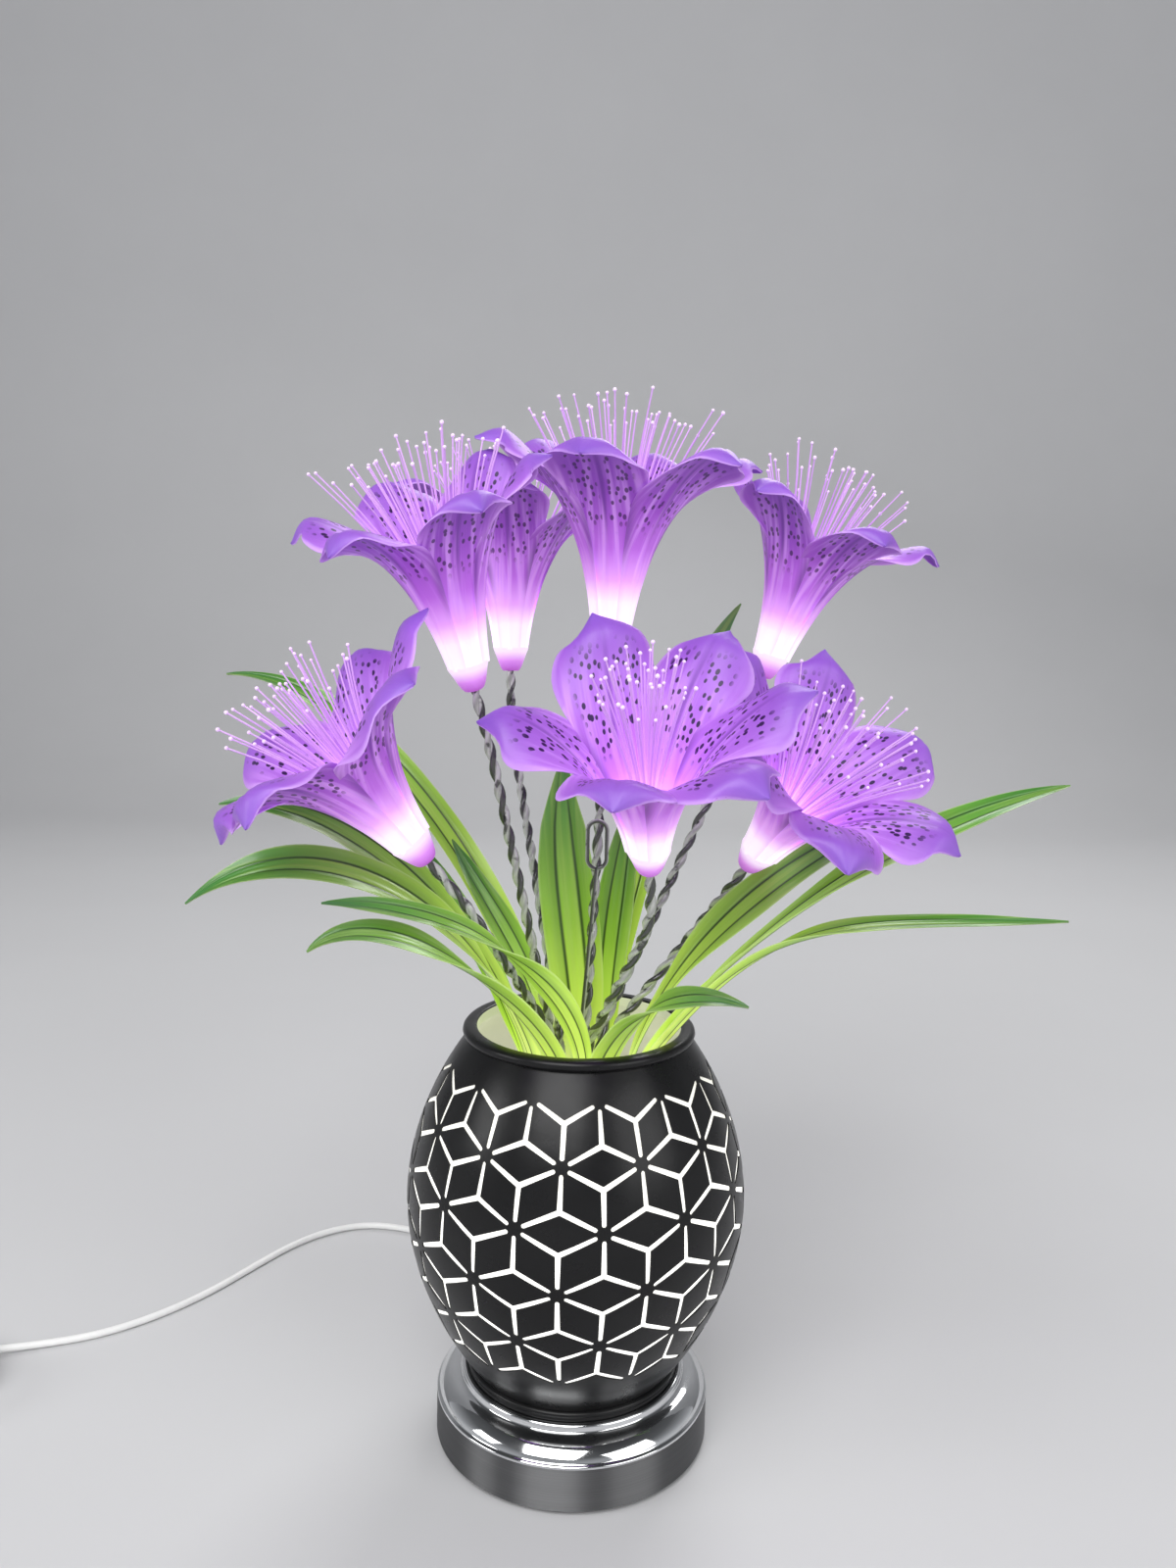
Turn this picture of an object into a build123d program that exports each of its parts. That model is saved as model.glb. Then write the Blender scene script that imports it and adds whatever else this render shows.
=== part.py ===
"""Touch lamp: a chrome base, a black vase lit through its line pattern and a bouquet of seven lit lilies.

Millimetres, +Z up. The origin is the middle of the base, on the table.
The bouquet's own points are measured from the middle of the hub's top face.
"""

import os
from math import cos, pi, radians, sin, sqrt, tan

import numpy as np
from build123d import *

os.makedirs("parts", exist_ok=True)

# Base
base_radius = 55.0
base_wall = 1.5
band_height = 16.5
foot_height = 2.0
foot_radius = 6.0
foot_circle = 40.0
foot_count = 4
plate_thickness = 1.5
plate_clearance = 0.2
screw_count = 3
screw_radius = 1.5
screw_length = 9.0
screw_head_radius = 2.8
screw_head_height = 1.2
screw_clearance = 0.15
boss_radius = 3.5
boss_bite = 0.6
cover_edge = 1.1
collar_radius = 45.2
collar_height = 9.3
collar_width = 1.9
collar_skirt = 3.4
recess_depth = 2.8
recess_floor_thickness = 1.6

# Electric pieces in the base
board_length = 46.0
board_width = 32.0
board_thickness = 1.6
standoff_height = 3.0
standoff_radius = 2.5
standoff_inset = 4.0
chip_length = 14.0
chip_width = 10.0
chip_height = 3.0
coil_can_radius = 4.5
coil_can_height = 5.0
ring_board_outer = 34.0
ring_board_inner = 14.0
ring_board_thickness = 1.6
diode_count = 12
diode_circle = 25.0
diode_side = 3.5
diode_height = 1.2

# Socket, post and hub
socket_radius = 8.5
socket_flange_radius = 12.5
socket_flange_height = 2.4
socket_height = 27.0
socket_stub_radius = 6.0
socket_stub_length = 7.0
stub_clearance = 0.1
post_radius = 5.0
post_bore = 3.2
post_clearance = 0.08
hub_radius = 24.0
hub_height = 20.0
hub_foot_radius = 15.0
hub_bore_depth = 10.0
hub_bore_clearance = 0.05
hub_depth_below_lip = 31.0

# Vase
vase_height = 143.5
vase_wall = 3.0
coat_thickness = 0.6
foot_ring_radius = 42.4
foot_ring_height = 6.0
foot_clearance = 0.5
groove_depth = 1.2
lower_radius = 57.9
lower_height = 33.5
belly_radius = 67.4
belly_height = 74.0
upper_radius = 57.8
upper_height = 116.0
neck_radius = 43.9
lip_radius = 2.1

# Lily: outline of the trumpet, from the top of the calyx to the petal tips
neck_ball_radius = 2.5
neck_ball_clearance = 0.08
calyx_height = 9.0
calyx_tip_radius = 3.4
calyx_waist_radius = 5.4
calyx_rim_radius = 7.5
petal_thickness = 1.0
petal_count = 6
trumpet_height = 70.0
petal_radii = (7.2, 8.6, 10.7, 14.1, 19.6, 27.0, 36.5, 46.5, 56.0)
petal_levels = (0.0, 0.13, 0.27, 0.43, 0.6, 0.76, 0.9, 0.985, 0.96)
petal_half_widths = (3.2, 4.0, 5.0, 6.8, 9.8, 13.8, 17.6, 14.6, 1.0)
least_sag = 0.04
bulb_radius = 4.0
bulb_seat_depth = 3.8
bulb_clearance = 0.1
bulb_length = 9.0
filament_radius = 0.5
bead_radius = 1.0
filament_rings = ((5, 7.0, 14.0), (9, 13.0, 17.0), (12, 19.0, 13.0))

# Stems and their support hook
stem_radius = 2.1
stem_rise = 24.0
stem_lead = 24.0
hook_wire = 1.6
hook_eye_length = 20.0
hook_eye_width = 9.0
hook_foot = (-1.5, -5.5)
hook_eye_middle = (5.5, -9.0, 104.0)

# Lily forms: share of the trumpet's height and of its spread past the calyx
lily_forms = {"tall": (1.0, 1.0), "narrow": (0.93, 0.85), "open": (0.82, 1.0)}

# Lilies: neck point from the hub, lean and its bearing, spin of the petals, form,
# and the stem's foot on the hub, as a distance and a bearing from the middle
lilies = {
    "flower_1": ((8.8, 0.8, 176.4), 4.4, 302, 13.0, "tall", (2.7, 22)),
    "flower_2": ((-40.2, -27.1, 163.1), 19.1, 223, 13.6, "narrow", (10.5, 190)),
    "flower_3": ((-33.5, 68.0, 167.8), 2.0, 116, 34.7, "tall", (10.5, 135)),
    "flower_4": ((72.5, 35.5, 168.3), 19.1, 341, 8.0, "narrow", (10.5, 40)),
    "flower_5": ((-53.7, -50.0, 104.3), 40.0, 202, 48.0, "open", (10.5, 222)),
    "flower_6": ((23.3, -54.0, 103.0), 28.4, 261, 40.0, "open", (10.5, 285)),
    "flower_7": ((63.0, -8.0, 96.7), 40.9, 310, 30.0, "open", (10.5, 2)),
}

# Leaves: four control points of the middle line, full width, facing at the tip
leaf_thickness = 0.8
leaf_fold = 0.16
leaf_tip_width = 1.2
leaf_foot_width = 5.0
leaf_stations = (0.0, 0.12, 0.28, 0.46, 0.64, 0.82, 0.93, 1.0)
leaf_fullness = (0.0, 0.35, 0.72, 1.0, 1.0, 0.72, 0.4, 0.0)
leaves = {
    "leaf_left_upper": (((-18, -4, 0), (-17, 0, 47), (-83, -18, 130), (-136, -18, 118)), 18, (0, -0.7, 0.7)),
    "leaf_left_lower": (((-14, -12, 0), (-16, -15, 56), (-84, -40, 132), (-140, -45, 86)), 19, (0, -1, 1)),
    "leaf_left_front": (((0, -18, 0), (14, -29, 54), (-42, -54, 93), (-87, -66, 92)), 11, (0, -0.8, 0.6)),
    "leaf_left_low": (((-7, -17, 0), (6, -22, 32), (-66, -60, 102), (-93, -62, 74)), 14, (0, -0.7, 0.7)),
    "leaf_centre": (((0, 10, 0), (4, 10, 45), (-12, 12, 92), (-8, 12, 138)), 23, (0, -1, 0)),
    "leaf_centre_right": (((11, 14, 0), (8, 16, 40), (14, 24, 79), (20, 28, 118)), 16, (0, -1, 0)),
    "leaf_right_upper": (((18, -5, 0), (18, -17, 50), (74, -20, 104), (118, 4, 113)), 18, (0, -0.8, 0.6)),
    "leaf_right_long": (((15, -10, 0), (42, -22, 66), (122, -8, 116), (194, 14, 128)), 16, (0, -0.7, 0.7)),
    "leaf_right_lower": (((12, -14, 0), (66, -33, 88), (80, -30, 80), (182, -22, 81)), 11, (0, -0.6, 0.8)),
    "leaf_front_curl": (((6, -17, 0), (7, -26, 30), (23, -48, 66), (59, -56, 56)), 15, (0, -0.6, 0.8)),
}
leaf_pairs = {
    "leaf_pair_left": (
        (((-18, 4, 0), (-25, -3, 36), (-45, 11, 70), (-65, 10, 100)), 10, (0, -1, 0)),
        (((-15, 10, 0), (-6, 4, 40), (-36, 18, 70), (-54, 26, 99)), 11, (0, -1, 0)),
    ),
    "leaf_pair_back": (
        (((-10, 16, 0), (-14, 13, 56), (-90, 55, 169), (-157, 62, 164)), 14, (0, -0.5, 0.8)),
        (((4, 18, 0), (14, 12, 55), (34, 59, 155), (67, 70, 199)), 14, (0, -1, 0)),
    ),
}

# Cord: a thin round lead with its put-away length coiled past the left edge of the picture
cord_diameter = 3.2
relief_bearing = 108.0
relief_length = 22.0
relief_radius = 4.2
relief_tip_radius = 2.3
relief_collar_radius = 5.4
relief_collar_length = 2.0
relief_flange_length = 1.5
relief_clearance = 0.15
cord_lead = 18.0
cord_points = (
    (-38.0, 109.5, 7.4),
    (-51.5, 127.0, 3.2),
    (-70.5, 143.0, 1.6),
    (-92.0, 153.0, 1.6),
    (-114.0, 156.5, 1.6),
    (-133.5, 148.5, 1.6),
    (-149.5, 132.5, 1.6),
    (-163.0, 110.5, 1.6),
    (-177.0, 87.0, 1.6),
    (-194.5, 66.0, 1.6),
    (-215.0, 50.0, 1.6),
    (-236.0, 42.0, 1.6),
)
coil_middle = (-271.0, 4.0)
coil_bearing = 109.0
coil_turns_per_layer = 3
coil_layers = 4
coil_end_turn = 0.25
coil_pitch = 3.7
coil_inner_radius = 13.0
tie_thickness = 0.8
tie_width = 5.0
tie_clearance = 0.4
tail_runs = (12.0, 13.0, 14.0, 13.0, 12.0)
tail_drop_shares = (0.0, 0.26, 0.48, 0.26, 0.0)
plug_grip_size = (28.0, 16.0, 8.4)
plug_grip_fillet = 2.5
plug_shell_size = (18.0, 12.0, 4.5)
plug_shell_wall = 0.6
plug_shell_back = 5.0


def keep(builder, name):
    """Label a finished piece and write its file."""
    builder.part.label = name
    export_step(builder.part, f"parts/{name}.step")


def bend_radii(points):
    """Largest fillet for each corner of a route that leaves its runs a straight middle."""
    radii = []
    for before, corner, after in zip(points, points[1:], points[2:]):
        run_in = Vector(*corner) - Vector(*before)
        run_out = Vector(*after) - Vector(*corner)
        half_turn = radians(run_in.get_angle(run_out)) / 2
        radii.append(0.45 * min(run_in.length, run_out.length) / tan(half_turn))
    return radii


def print_tube(name, part, radius, path_length):
    """Compare a tube's volume with its section times its length."""
    share = part.volume / (pi * radius**2 * path_length)
    print(f"{name}: {path_length:.1f} mm long, volume {share:.4f} of section times length")


# Heights that the pieces share
band_bottom = foot_height
plate_top = foot_height + plate_thickness
band_top = band_bottom + band_height
edge_top = band_top + cover_edge
collar_top = edge_top + collar_height
recess_floor = collar_top - recess_depth
vase_top = recess_floor + vase_height
hub_top = vase_top - hub_depth_below_lip
hub_bottom = hub_top - hub_height
inner_base_radius = base_radius - base_wall
recess_radius = foot_ring_radius + foot_clearance
boss_circle = inner_base_radius - boss_radius + boss_bite

relief_height = (plate_top + band_top) / 2
relief_direction = Vector(cos(radians(relief_bearing)), sin(radians(relief_bearing)), 0)
relief_plane = Plane(
    origin=(relief_direction.X * base_radius, relief_direction.Y * base_radius, relief_height),
    x_dir=(-relief_direction.Y, relief_direction.X, 0),
    z_dir=relief_direction,
)


# Base drum: brushed band with screw bosses on its inner wall and the hole for the cord
with BuildPart() as base_drum:
    with BuildSketch(Plane.XY.offset(band_bottom)):
        Circle(base_radius)
        Circle(inner_base_radius, mode=Mode.SUBTRACT)
    extrude(amount=band_height)
    with BuildSketch(Plane.XY.offset(plate_top)):
        with PolarLocations(boss_circle, screw_count):
            Circle(boss_radius)
    extrude(amount=band_top - plate_top)
    with BuildSketch(Plane.XY.offset(plate_top)):
        with PolarLocations(boss_circle, screw_count):
            Circle(screw_radius + screw_clearance)
    extrude(amount=screw_length, mode=Mode.SUBTRACT)
    with BuildSketch(relief_plane):
        Circle(relief_radius + relief_clearance)
    extrude(amount=-base_wall * 3, mode=Mode.SUBTRACT)
keep(base_drum, "base_drum")

# Base cover: polished slope, collar and the recess that takes the vase's foot
with BuildPart() as base_cover:
    with BuildSketch(Plane.XZ):
        with BuildLine():
            slope_foot = (base_radius - cover_edge, edge_top)
            slope_head = (collar_radius + collar_skirt / 2, collar_top - collar_skirt)
            Polyline(
                (socket_stub_radius + stub_clearance, recess_floor - recess_floor_thickness),
                (socket_stub_radius + stub_clearance, recess_floor),
                (recess_radius, recess_floor),
                (recess_radius, collar_top),
                (recess_radius + collar_width, collar_top),
                (collar_radius, collar_top - collar_width / 2),
                slope_head,
            )
            bulge = (
                (slope_foot[0] + slope_head[0]) / 2 + collar_skirt / 4,
                (slope_foot[1] + slope_head[1]) / 2 + collar_skirt / 4,
            )
            ThreePointArc(slope_head, bulge, slope_foot)
            Polyline(
                slope_foot,
                (base_radius, band_top + cover_edge / 2),
                (base_radius, band_top),
                (inner_base_radius - base_wall, band_top),
                (recess_radius - base_wall, recess_floor - recess_floor_thickness),
                (socket_stub_radius + stub_clearance, recess_floor - recess_floor_thickness),
            )
        make_face()
    revolve(axis=Axis.Z)
keep(base_cover, "base_cover")

# Bottom plate with board standoffs and screw holes
board_holes_x = board_length - 2 * standoff_inset
board_holes_y = board_width - 2 * standoff_inset
with BuildPart() as bottom_plate:
    with BuildSketch(Plane.XY.offset(foot_height)):
        Circle(inner_base_radius - plate_clearance)
        with PolarLocations(boss_circle, screw_count):
            Circle(screw_radius + screw_clearance, mode=Mode.SUBTRACT)
    extrude(amount=plate_thickness)
    with BuildSketch(Plane.XY.offset(plate_top)):
        with GridLocations(board_holes_x, board_holes_y, 2, 2):
            Circle(standoff_radius)
    extrude(amount=standoff_height)
keep(bottom_plate, "bottom_plate")

# Rubber feet: a ring of pads and one in the middle
with BuildPart() as rubber_feet:
    with BuildSketch(Plane.XY):
        with PolarLocations(foot_circle, foot_count, start_angle=180 / foot_count):
            Circle(foot_radius)
        Circle(foot_radius)
    extrude(amount=foot_height)
keep(rubber_feet, "rubber_feet")

# Screws that hold the plate to the drum
with BuildPart() as plate_screws:
    with BuildSketch(Plane.XY.offset(foot_height - screw_head_height)):
        with PolarLocations(boss_circle, screw_count):
            Circle(screw_head_radius)
    extrude(amount=screw_head_height)
    with BuildSketch(Plane.XY.offset(foot_height)):
        with PolarLocations(boss_circle, screw_count):
            Circle(screw_radius)
    extrude(amount=screw_length)
keep(plate_screws, "plate_screws")

# Touch dimmer board with its chip and choke
board_bottom = plate_top + standoff_height
with BuildPart() as touch_board:
    with BuildSketch(Plane.XY.offset(board_bottom)):
        Rectangle(board_length, board_width)
    extrude(amount=board_thickness)
    with BuildSketch(Plane.XY.offset(board_bottom + board_thickness)):
        with Locations((-board_length / 4, 0)):
            Rectangle(chip_length, chip_width)
    extrude(amount=chip_height)
    with BuildSketch(Plane.XY.offset(board_bottom + board_thickness)):
        with Locations((board_length / 4, 0)):
            Circle(coil_can_radius)
    extrude(amount=coil_can_height)
keep(touch_board, "touch_board")

# Ring of diodes that lights the vase from below
with BuildPart() as light_ring:
    with BuildSketch(Plane.XY.offset(recess_floor)):
        Circle(ring_board_outer)
        Circle(ring_board_inner, mode=Mode.SUBTRACT)
    extrude(amount=ring_board_thickness)
    with BuildSketch(Plane.XY.offset(recess_floor + ring_board_thickness)):
        with PolarLocations(diode_circle, diode_count):
            Rectangle(diode_side, diode_side)
    extrude(amount=diode_height)
keep(light_ring, "light_ring")

# Socket on the cover, with a stub down through it for the leads
post_bottom = recess_floor + socket_flange_height
with BuildPart() as post_socket:
    with BuildSketch(Plane.XY.offset(recess_floor)):
        Circle(socket_flange_radius)
    extrude(amount=socket_flange_height)
    with BuildSketch(Plane.XY.offset(recess_floor)):
        Circle(socket_radius)
    extrude(amount=socket_height)
    with BuildSketch(Plane.XY.offset(recess_floor)):
        Circle(socket_stub_radius)
    extrude(amount=-socket_stub_length)
    with BuildSketch(Plane.XY.offset(post_bottom)):
        Circle(post_radius + post_clearance)
    extrude(amount=socket_height, mode=Mode.SUBTRACT)
keep(post_socket, "post_socket")

# Tapered strain relief where the cord leaves the drum
with BuildPart() as strain_relief:
    with BuildSketch(relief_plane):
        Circle(relief_collar_radius)
    extrude(amount=relief_collar_length)
    with BuildSketch(relief_plane):
        Circle(relief_radius)
    extrude(amount=-base_wall - relief_clearance * 2)
    with BuildSketch(relief_plane.offset(-base_wall - relief_clearance * 2)):
        Circle(relief_collar_radius)
    extrude(amount=-relief_flange_length)
    with BuildSketch(relief_plane.offset(relief_collar_length)):
        Circle(relief_radius)
    with BuildSketch(relief_plane.offset(relief_length)):
        Circle(relief_tip_radius)
    loft()
keep(strain_relief, "strain_relief")

# Vase: opal glass, and its black coat as a thin skin that wraps the lip
foot_top = recess_floor + foot_ring_height


def vase_side(inset):
    """Outer line of the vase from the foot's groove to under the lip, drawn in by an inset."""
    return (
        (foot_ring_radius - groove_depth - inset, foot_top),
        (lower_radius - inset, recess_floor + lower_height),
        (belly_radius - inset, recess_floor + belly_height),
        (upper_radius - inset, recess_floor + upper_height),
        (neck_radius - inset, vase_top - 2 * lip_radius),
    )


glass_top = vase_top - coat_thickness
with BuildPart() as vase_glass:
    with BuildSketch(Plane.XZ):
        with BuildLine():
            outer = vase_side(coat_thickness)
            inner = vase_side(coat_thickness + vase_wall)
            Spline(*outer)
            Polyline(outer[-1], (outer[-1][0], glass_top), (inner[-1][0], glass_top), inner[-1])
            Spline(*inner)
            Polyline(
                inner[0],
                (inner[0][0], recess_floor),
                (foot_ring_radius, recess_floor),
                (foot_ring_radius, foot_top - groove_depth),
                outer[0],
            )
        make_face()
    revolve(axis=Axis.Z)
keep(vase_glass, "vase_glass")

with BuildPart() as vase_coat:
    with BuildSketch(Plane.XZ):
        with BuildLine():
            outer = vase_side(0)
            inner = vase_side(coat_thickness)
            lip_inner = inner[-1][0] - vase_wall
            Spline(*outer)
            ThreePointArc(
                outer[-1],
                (outer[-1][0] + lip_radius, vase_top - lip_radius),
                (outer[-1][0], vase_top),
            )
            Polyline(
                (outer[-1][0], vase_top),
                (lip_inner, vase_top),
                (lip_inner, glass_top),
                (inner[-1][0], glass_top),
                inner[-1],
            )
            Spline(*inner)
            Line(inner[0], outer[0])
        make_face()
    revolve(axis=Axis.Z)
keep(vase_coat, "vase_coat")

# Post and hub of the bouquet
with BuildPart() as centre_post:
    with BuildSketch(Plane.XY.offset(post_bottom)):
        Circle(post_radius)
        Circle(post_bore, mode=Mode.SUBTRACT)
    extrude(amount=hub_bottom + hub_bore_depth - post_bottom)
keep(centre_post, "centre_post")

with BuildPart() as stem_hub:
    with BuildSketch(Plane.XY.offset(hub_bottom)):
        Circle(hub_foot_radius)
    with BuildSketch(Plane.XY.offset(hub_top)):
        Circle(hub_radius)
    loft()
    with BuildSketch(Plane.XY.offset(hub_bottom)):
        Circle(post_radius + hub_bore_clearance)
    extrude(amount=hub_bore_depth, mode=Mode.SUBTRACT)
keep(stem_hub, "stem_hub")

# Support hook: a straight wire with a long eye, beside the middle stem
eye_middle = (hook_eye_middle[0], hook_eye_middle[1], hub_top + hook_eye_middle[2])
eye_foot = (eye_middle[0], eye_middle[1], eye_middle[2] - hook_eye_length / 2 + hook_wire / 2)
with BuildPart() as support_hook:
    with BuildSketch(Plane.XZ.offset(-eye_middle[1] - hook_wire / 2)):
        with Locations((eye_middle[0], eye_middle[2])):
            SlotOverall(hook_eye_length, hook_eye_width, rotation=90)
            SlotOverall(
                hook_eye_length - 2 * hook_wire,
                hook_eye_width - 2 * hook_wire,
                rotation=90,
                mode=Mode.SUBTRACT,
            )
    extrude(amount=hook_wire)
    with BuildSketch(Plane.XY.offset(hub_top)):
        with Locations(hook_foot):
            Circle(hook_wire / 2)
    with BuildSketch(Plane.XY.offset(eye_foot[2])):
        with Locations(eye_foot[:2]):
            Circle(hook_wire / 2)
    loft()
keep(support_hook, "support_hook")


# Lilies
def lily_plane(name):
    """Frame of a lily: origin at its neck, Z along the trumpet, X the way it leans."""
    neck, lean, bearing = lilies[name][:3]
    lean_angle, lean_bearing = radians(lean), radians(bearing)
    return Plane(
        origin=(neck[0], neck[1], hub_top + neck[2]),
        x_dir=(cos(lean_angle) * cos(lean_bearing), cos(lean_angle) * sin(lean_bearing), -sin(lean_angle)),
        z_dir=(sin(lean_angle) * cos(lean_bearing), sin(lean_angle) * sin(lean_bearing), cos(lean_angle)),
    )


def petal_line(height, spread):
    """Middle line of a petal's outer face: points in the lily's XZ plane and their directions."""
    points = [
        Vector(petal_radii[0] + (radius - petal_radii[0]) * spread, 0, calyx_height + level * height)
        for radius, level in zip(petal_radii, petal_levels)
    ]
    directions = [Vector(0, 0, 1)]
    for before, after in zip(points, points[2:]):
        directions.append((after - before).normalized())
    directions.append((points[-1] - points[-2]).normalized())
    return points, directions


def petal_section(plane, half_width, sag):
    """Thin crescent across a petal, its hollow side towards the lily's axis and its sides drawn in."""
    inner_width = half_width * (1 - petal_thickness * plane.z_dir.Z / plane.origin.X)
    with BuildSketch(plane) as section:
        with BuildLine():
            ThreePointArc((-half_width, sag), (0, 0), (half_width, sag))
            Line((half_width, sag), (inner_width, sag + petal_thickness))
            ThreePointArc(
                (inner_width, sag + petal_thickness),
                (0, petal_thickness),
                (-inner_width, sag + petal_thickness),
            )
            Line((-inner_width, sag + petal_thickness), (-half_width, sag))
        make_face()
    return section.sketch


def filament_form(length):
    """Thin upright filament with a bead at its tip."""
    with BuildPart() as filament:
        with BuildSketch(Plane.XZ):
            with BuildLine():
                shoulder = (filament_radius, length - sqrt(bead_radius**2 - filament_radius**2))
                tip = (0, length + bead_radius)
                Polyline(tip, (0, 0), (filament_radius, 0), shoulder)
                ThreePointArc(shoulder, (bead_radius, length), tip)
            make_face()
        revolve(axis=Axis.Z)
    return filament.part


bulb_base = calyx_height - bulb_seat_depth
bulb_top = bulb_base + bulb_length
petal_forms = {}
lamp_forms = {}
for form, (height_share, spread) in lily_forms.items():
    height = trumpet_height * height_share
    points, directions = petal_line(height, spread)
    petal_sections = []
    for point, direction, radius, full_width in zip(points, directions, petal_radii, petal_half_widths):
        half_width = full_width * point.X / radius
        sag = max(half_width**2 * direction.Z / (2 * point.X), least_sag * half_width)
        section_plane = Plane(origin=point, x_dir=(0, 1, 0), z_dir=direction)
        petal_sections.append(petal_section(section_plane, half_width, sag))
    with BuildPart() as petal:
        loft(petal_sections)
    petal_forms[form] = petal.part

    mouth = calyx_height + height
    with BuildPart() as lamp:
        with BuildSketch(Plane.XY.offset(bulb_base)):
            Circle(bulb_radius)
        extrude(amount=bulb_length)
        with Locations((0, 0, bulb_top)):
            Sphere(bulb_radius)
        for count, tilt, rise in filament_rings:
            length = (mouth + rise - bulb_top) / cos(radians(tilt))
            filament = filament_form(length)
            bearings = [360 / count * step + tilt for step in range(count)]
            upright = Plane.XY.offset(bulb_top)
            with Locations([upright.rotated((0, 0, turn)).rotated((0, tilt, 0)) for turn in bearings]):
                add(filament)
    lamp_forms[form] = lamp.part

with BuildPart() as calyx_form:
    with BuildSketch(Plane.XZ):
        with BuildLine():
            socket = neck_ball_radius + neck_ball_clearance
            ThreePointArc((socket, 0), (socket * sin(pi / 4), socket * cos(pi / 4)), (0, socket))
            Polyline(
                (0, socket),
                (0, bulb_base),
                (bulb_radius + bulb_clearance, bulb_base),
                (bulb_radius + bulb_clearance, calyx_height),
                (calyx_rim_radius, calyx_height),
            )
            ThreePointArc(
                (calyx_rim_radius, calyx_height),
                (calyx_waist_radius, calyx_height / 2),
                (calyx_tip_radius, 0),
            )
            Line((calyx_tip_radius, 0), (socket, 0))
        make_face()
    revolve(axis=Axis.Z)

for name, lily in lilies.items():
    spin, form, foot = lily[3:]
    plane = lily_plane(name)

    with BuildPart() as petals:
        with Locations(plane.location):
            with PolarLocations(0, petal_count, start_angle=spin):
                add(petal_forms[form])
    keep(petals, f"{name}_petals")

    with BuildPart() as calyx:
        with Locations(plane.location):
            add(calyx_form.part)
    keep(calyx, f"{name}_calyx")

    with BuildPart() as lily_lamp:
        with Locations(plane.location):
            add(lamp_forms[form])
    keep(lily_lamp, f"{name}_lamp")

    foot_bearing = radians(foot[1])
    stem_foot = (foot[0] * cos(foot_bearing), foot[0] * sin(foot_bearing), hub_top)
    stem_points = (
        stem_foot,
        (stem_foot[0], stem_foot[1], hub_top + stem_rise),
        tuple(plane.origin - plane.z_dir * stem_lead),
        tuple(plane.origin),
    )
    with BuildPart() as stem:
        with BuildLine() as stem_path:
            FilletPolyline(*stem_points, radius=bend_radii(stem_points))
        with BuildSketch(Plane.XY.offset(hub_top)):
            with Locations(stem_foot[:2]):
                Circle(stem_radius)
        sweep(path=stem_path.wires()[0])
        with Locations(plane.location):
            Sphere(neck_ball_radius)
    keep(stem, f"stem_{name[-1]}")


# Leaves
def leaf_sections(points, width, facing):
    """Folded cross sections along a strap leaf, whose upper face looks inwards at the foot."""
    middle = Bezier(*[(x, y, hub_top + z) for x, y, z in points])
    inwards = Vector(-points[0][0], -points[0][1], 0).normalized()
    sections = []
    for station, fullness in zip(leaf_stations, leaf_fullness):
        direction = Vector(0, 0, 1) if station == 0 else middle % station
        face = inwards * (1 - station) + Vector(*facing) * station
        across = direction.cross(face).normalized()
        least = leaf_foot_width + (leaf_tip_width - leaf_foot_width) * station
        half = max(least, width * fullness) / 2
        fold = half * leaf_fold
        with BuildSketch(Plane(origin=middle @ station, x_dir=across, z_dir=direction)) as section:
            Polygon(
                (-half, -fold),
                (0, 0),
                (half, -fold),
                (half, leaf_thickness - fold),
                (0, leaf_thickness),
                (-half, leaf_thickness - fold),
                align=None,
            )
        sections.append(section.sketch)
    return sections


for name, leaf_shape in leaves.items():
    with BuildPart() as leaf:
        loft(leaf_sections(*leaf_shape))
    keep(leaf, name)

for name, pair in leaf_pairs.items():
    with BuildPart() as leaf_pair:
        for leaf_shape in pair:
            loft(leaf_sections(*leaf_shape))
    keep(leaf_pair, name)

# Coil: spirals in and out in layers, climbing a layer in each half turn where the spiral reverses
coil_outer_radius = coil_inner_radius + coil_turns_per_layer * coil_pitch
coil_start_height = tie_thickness + tie_clearance + cord_diameter / 2
coil_turns = coil_turns_per_layer * coil_layers + coil_end_turn


def coil_point(turn):
    """Point and direction of the coil's middle line after a number of turns."""
    layer = min(int(turn / coil_turns_per_layer), coil_layers - 1)
    along = turn - layer * coil_turns_per_layer
    inwards = layer % 2 == 0
    radius = coil_outer_radius - along * coil_pitch if inwards else coil_inner_radius + along * coil_pitch
    radius_rate = -coil_pitch if inwards else coil_pitch
    nearest = min(max(round(turn / coil_turns_per_layer), 1), coil_layers - 1)
    climb = min(max((turn - nearest * coil_turns_per_layer) * 2 + 0.5, 0), 1)
    height = coil_start_height + coil_pitch * (nearest - 1 + climb**2 * (3 - 2 * climb))
    height_rate = coil_pitch * 6 * climb * (1 - climb) * 2
    if turn == nearest * coil_turns_per_layer:
        radius_rate = 0
    angle = radians(coil_bearing) + 2 * pi * turn
    out = Vector(cos(angle), sin(angle), 0)
    round_way = Vector(-sin(angle), cos(angle), 0)
    point = Vector(coil_middle[0], coil_middle[1], height) + out * radius
    direction = (round_way * (2 * pi * radius) + out * radius_rate + Vector(0, 0, height_rate)).normalized()
    return point, direction


def biarc_middle(start, start_way, end, end_way):
    """Joint of the two arcs that leave and arrive in the given directions."""
    span = end - start
    ways = start_way + end_way
    spread = 2 * (1 - start_way.dot(end_way))
    reach = (-span.dot(ways) + sqrt(span.dot(ways) ** 2 + spread * span.dot(span))) / spread
    return (start + start_way * reach + end - end_way * reach) * 0.5


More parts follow.
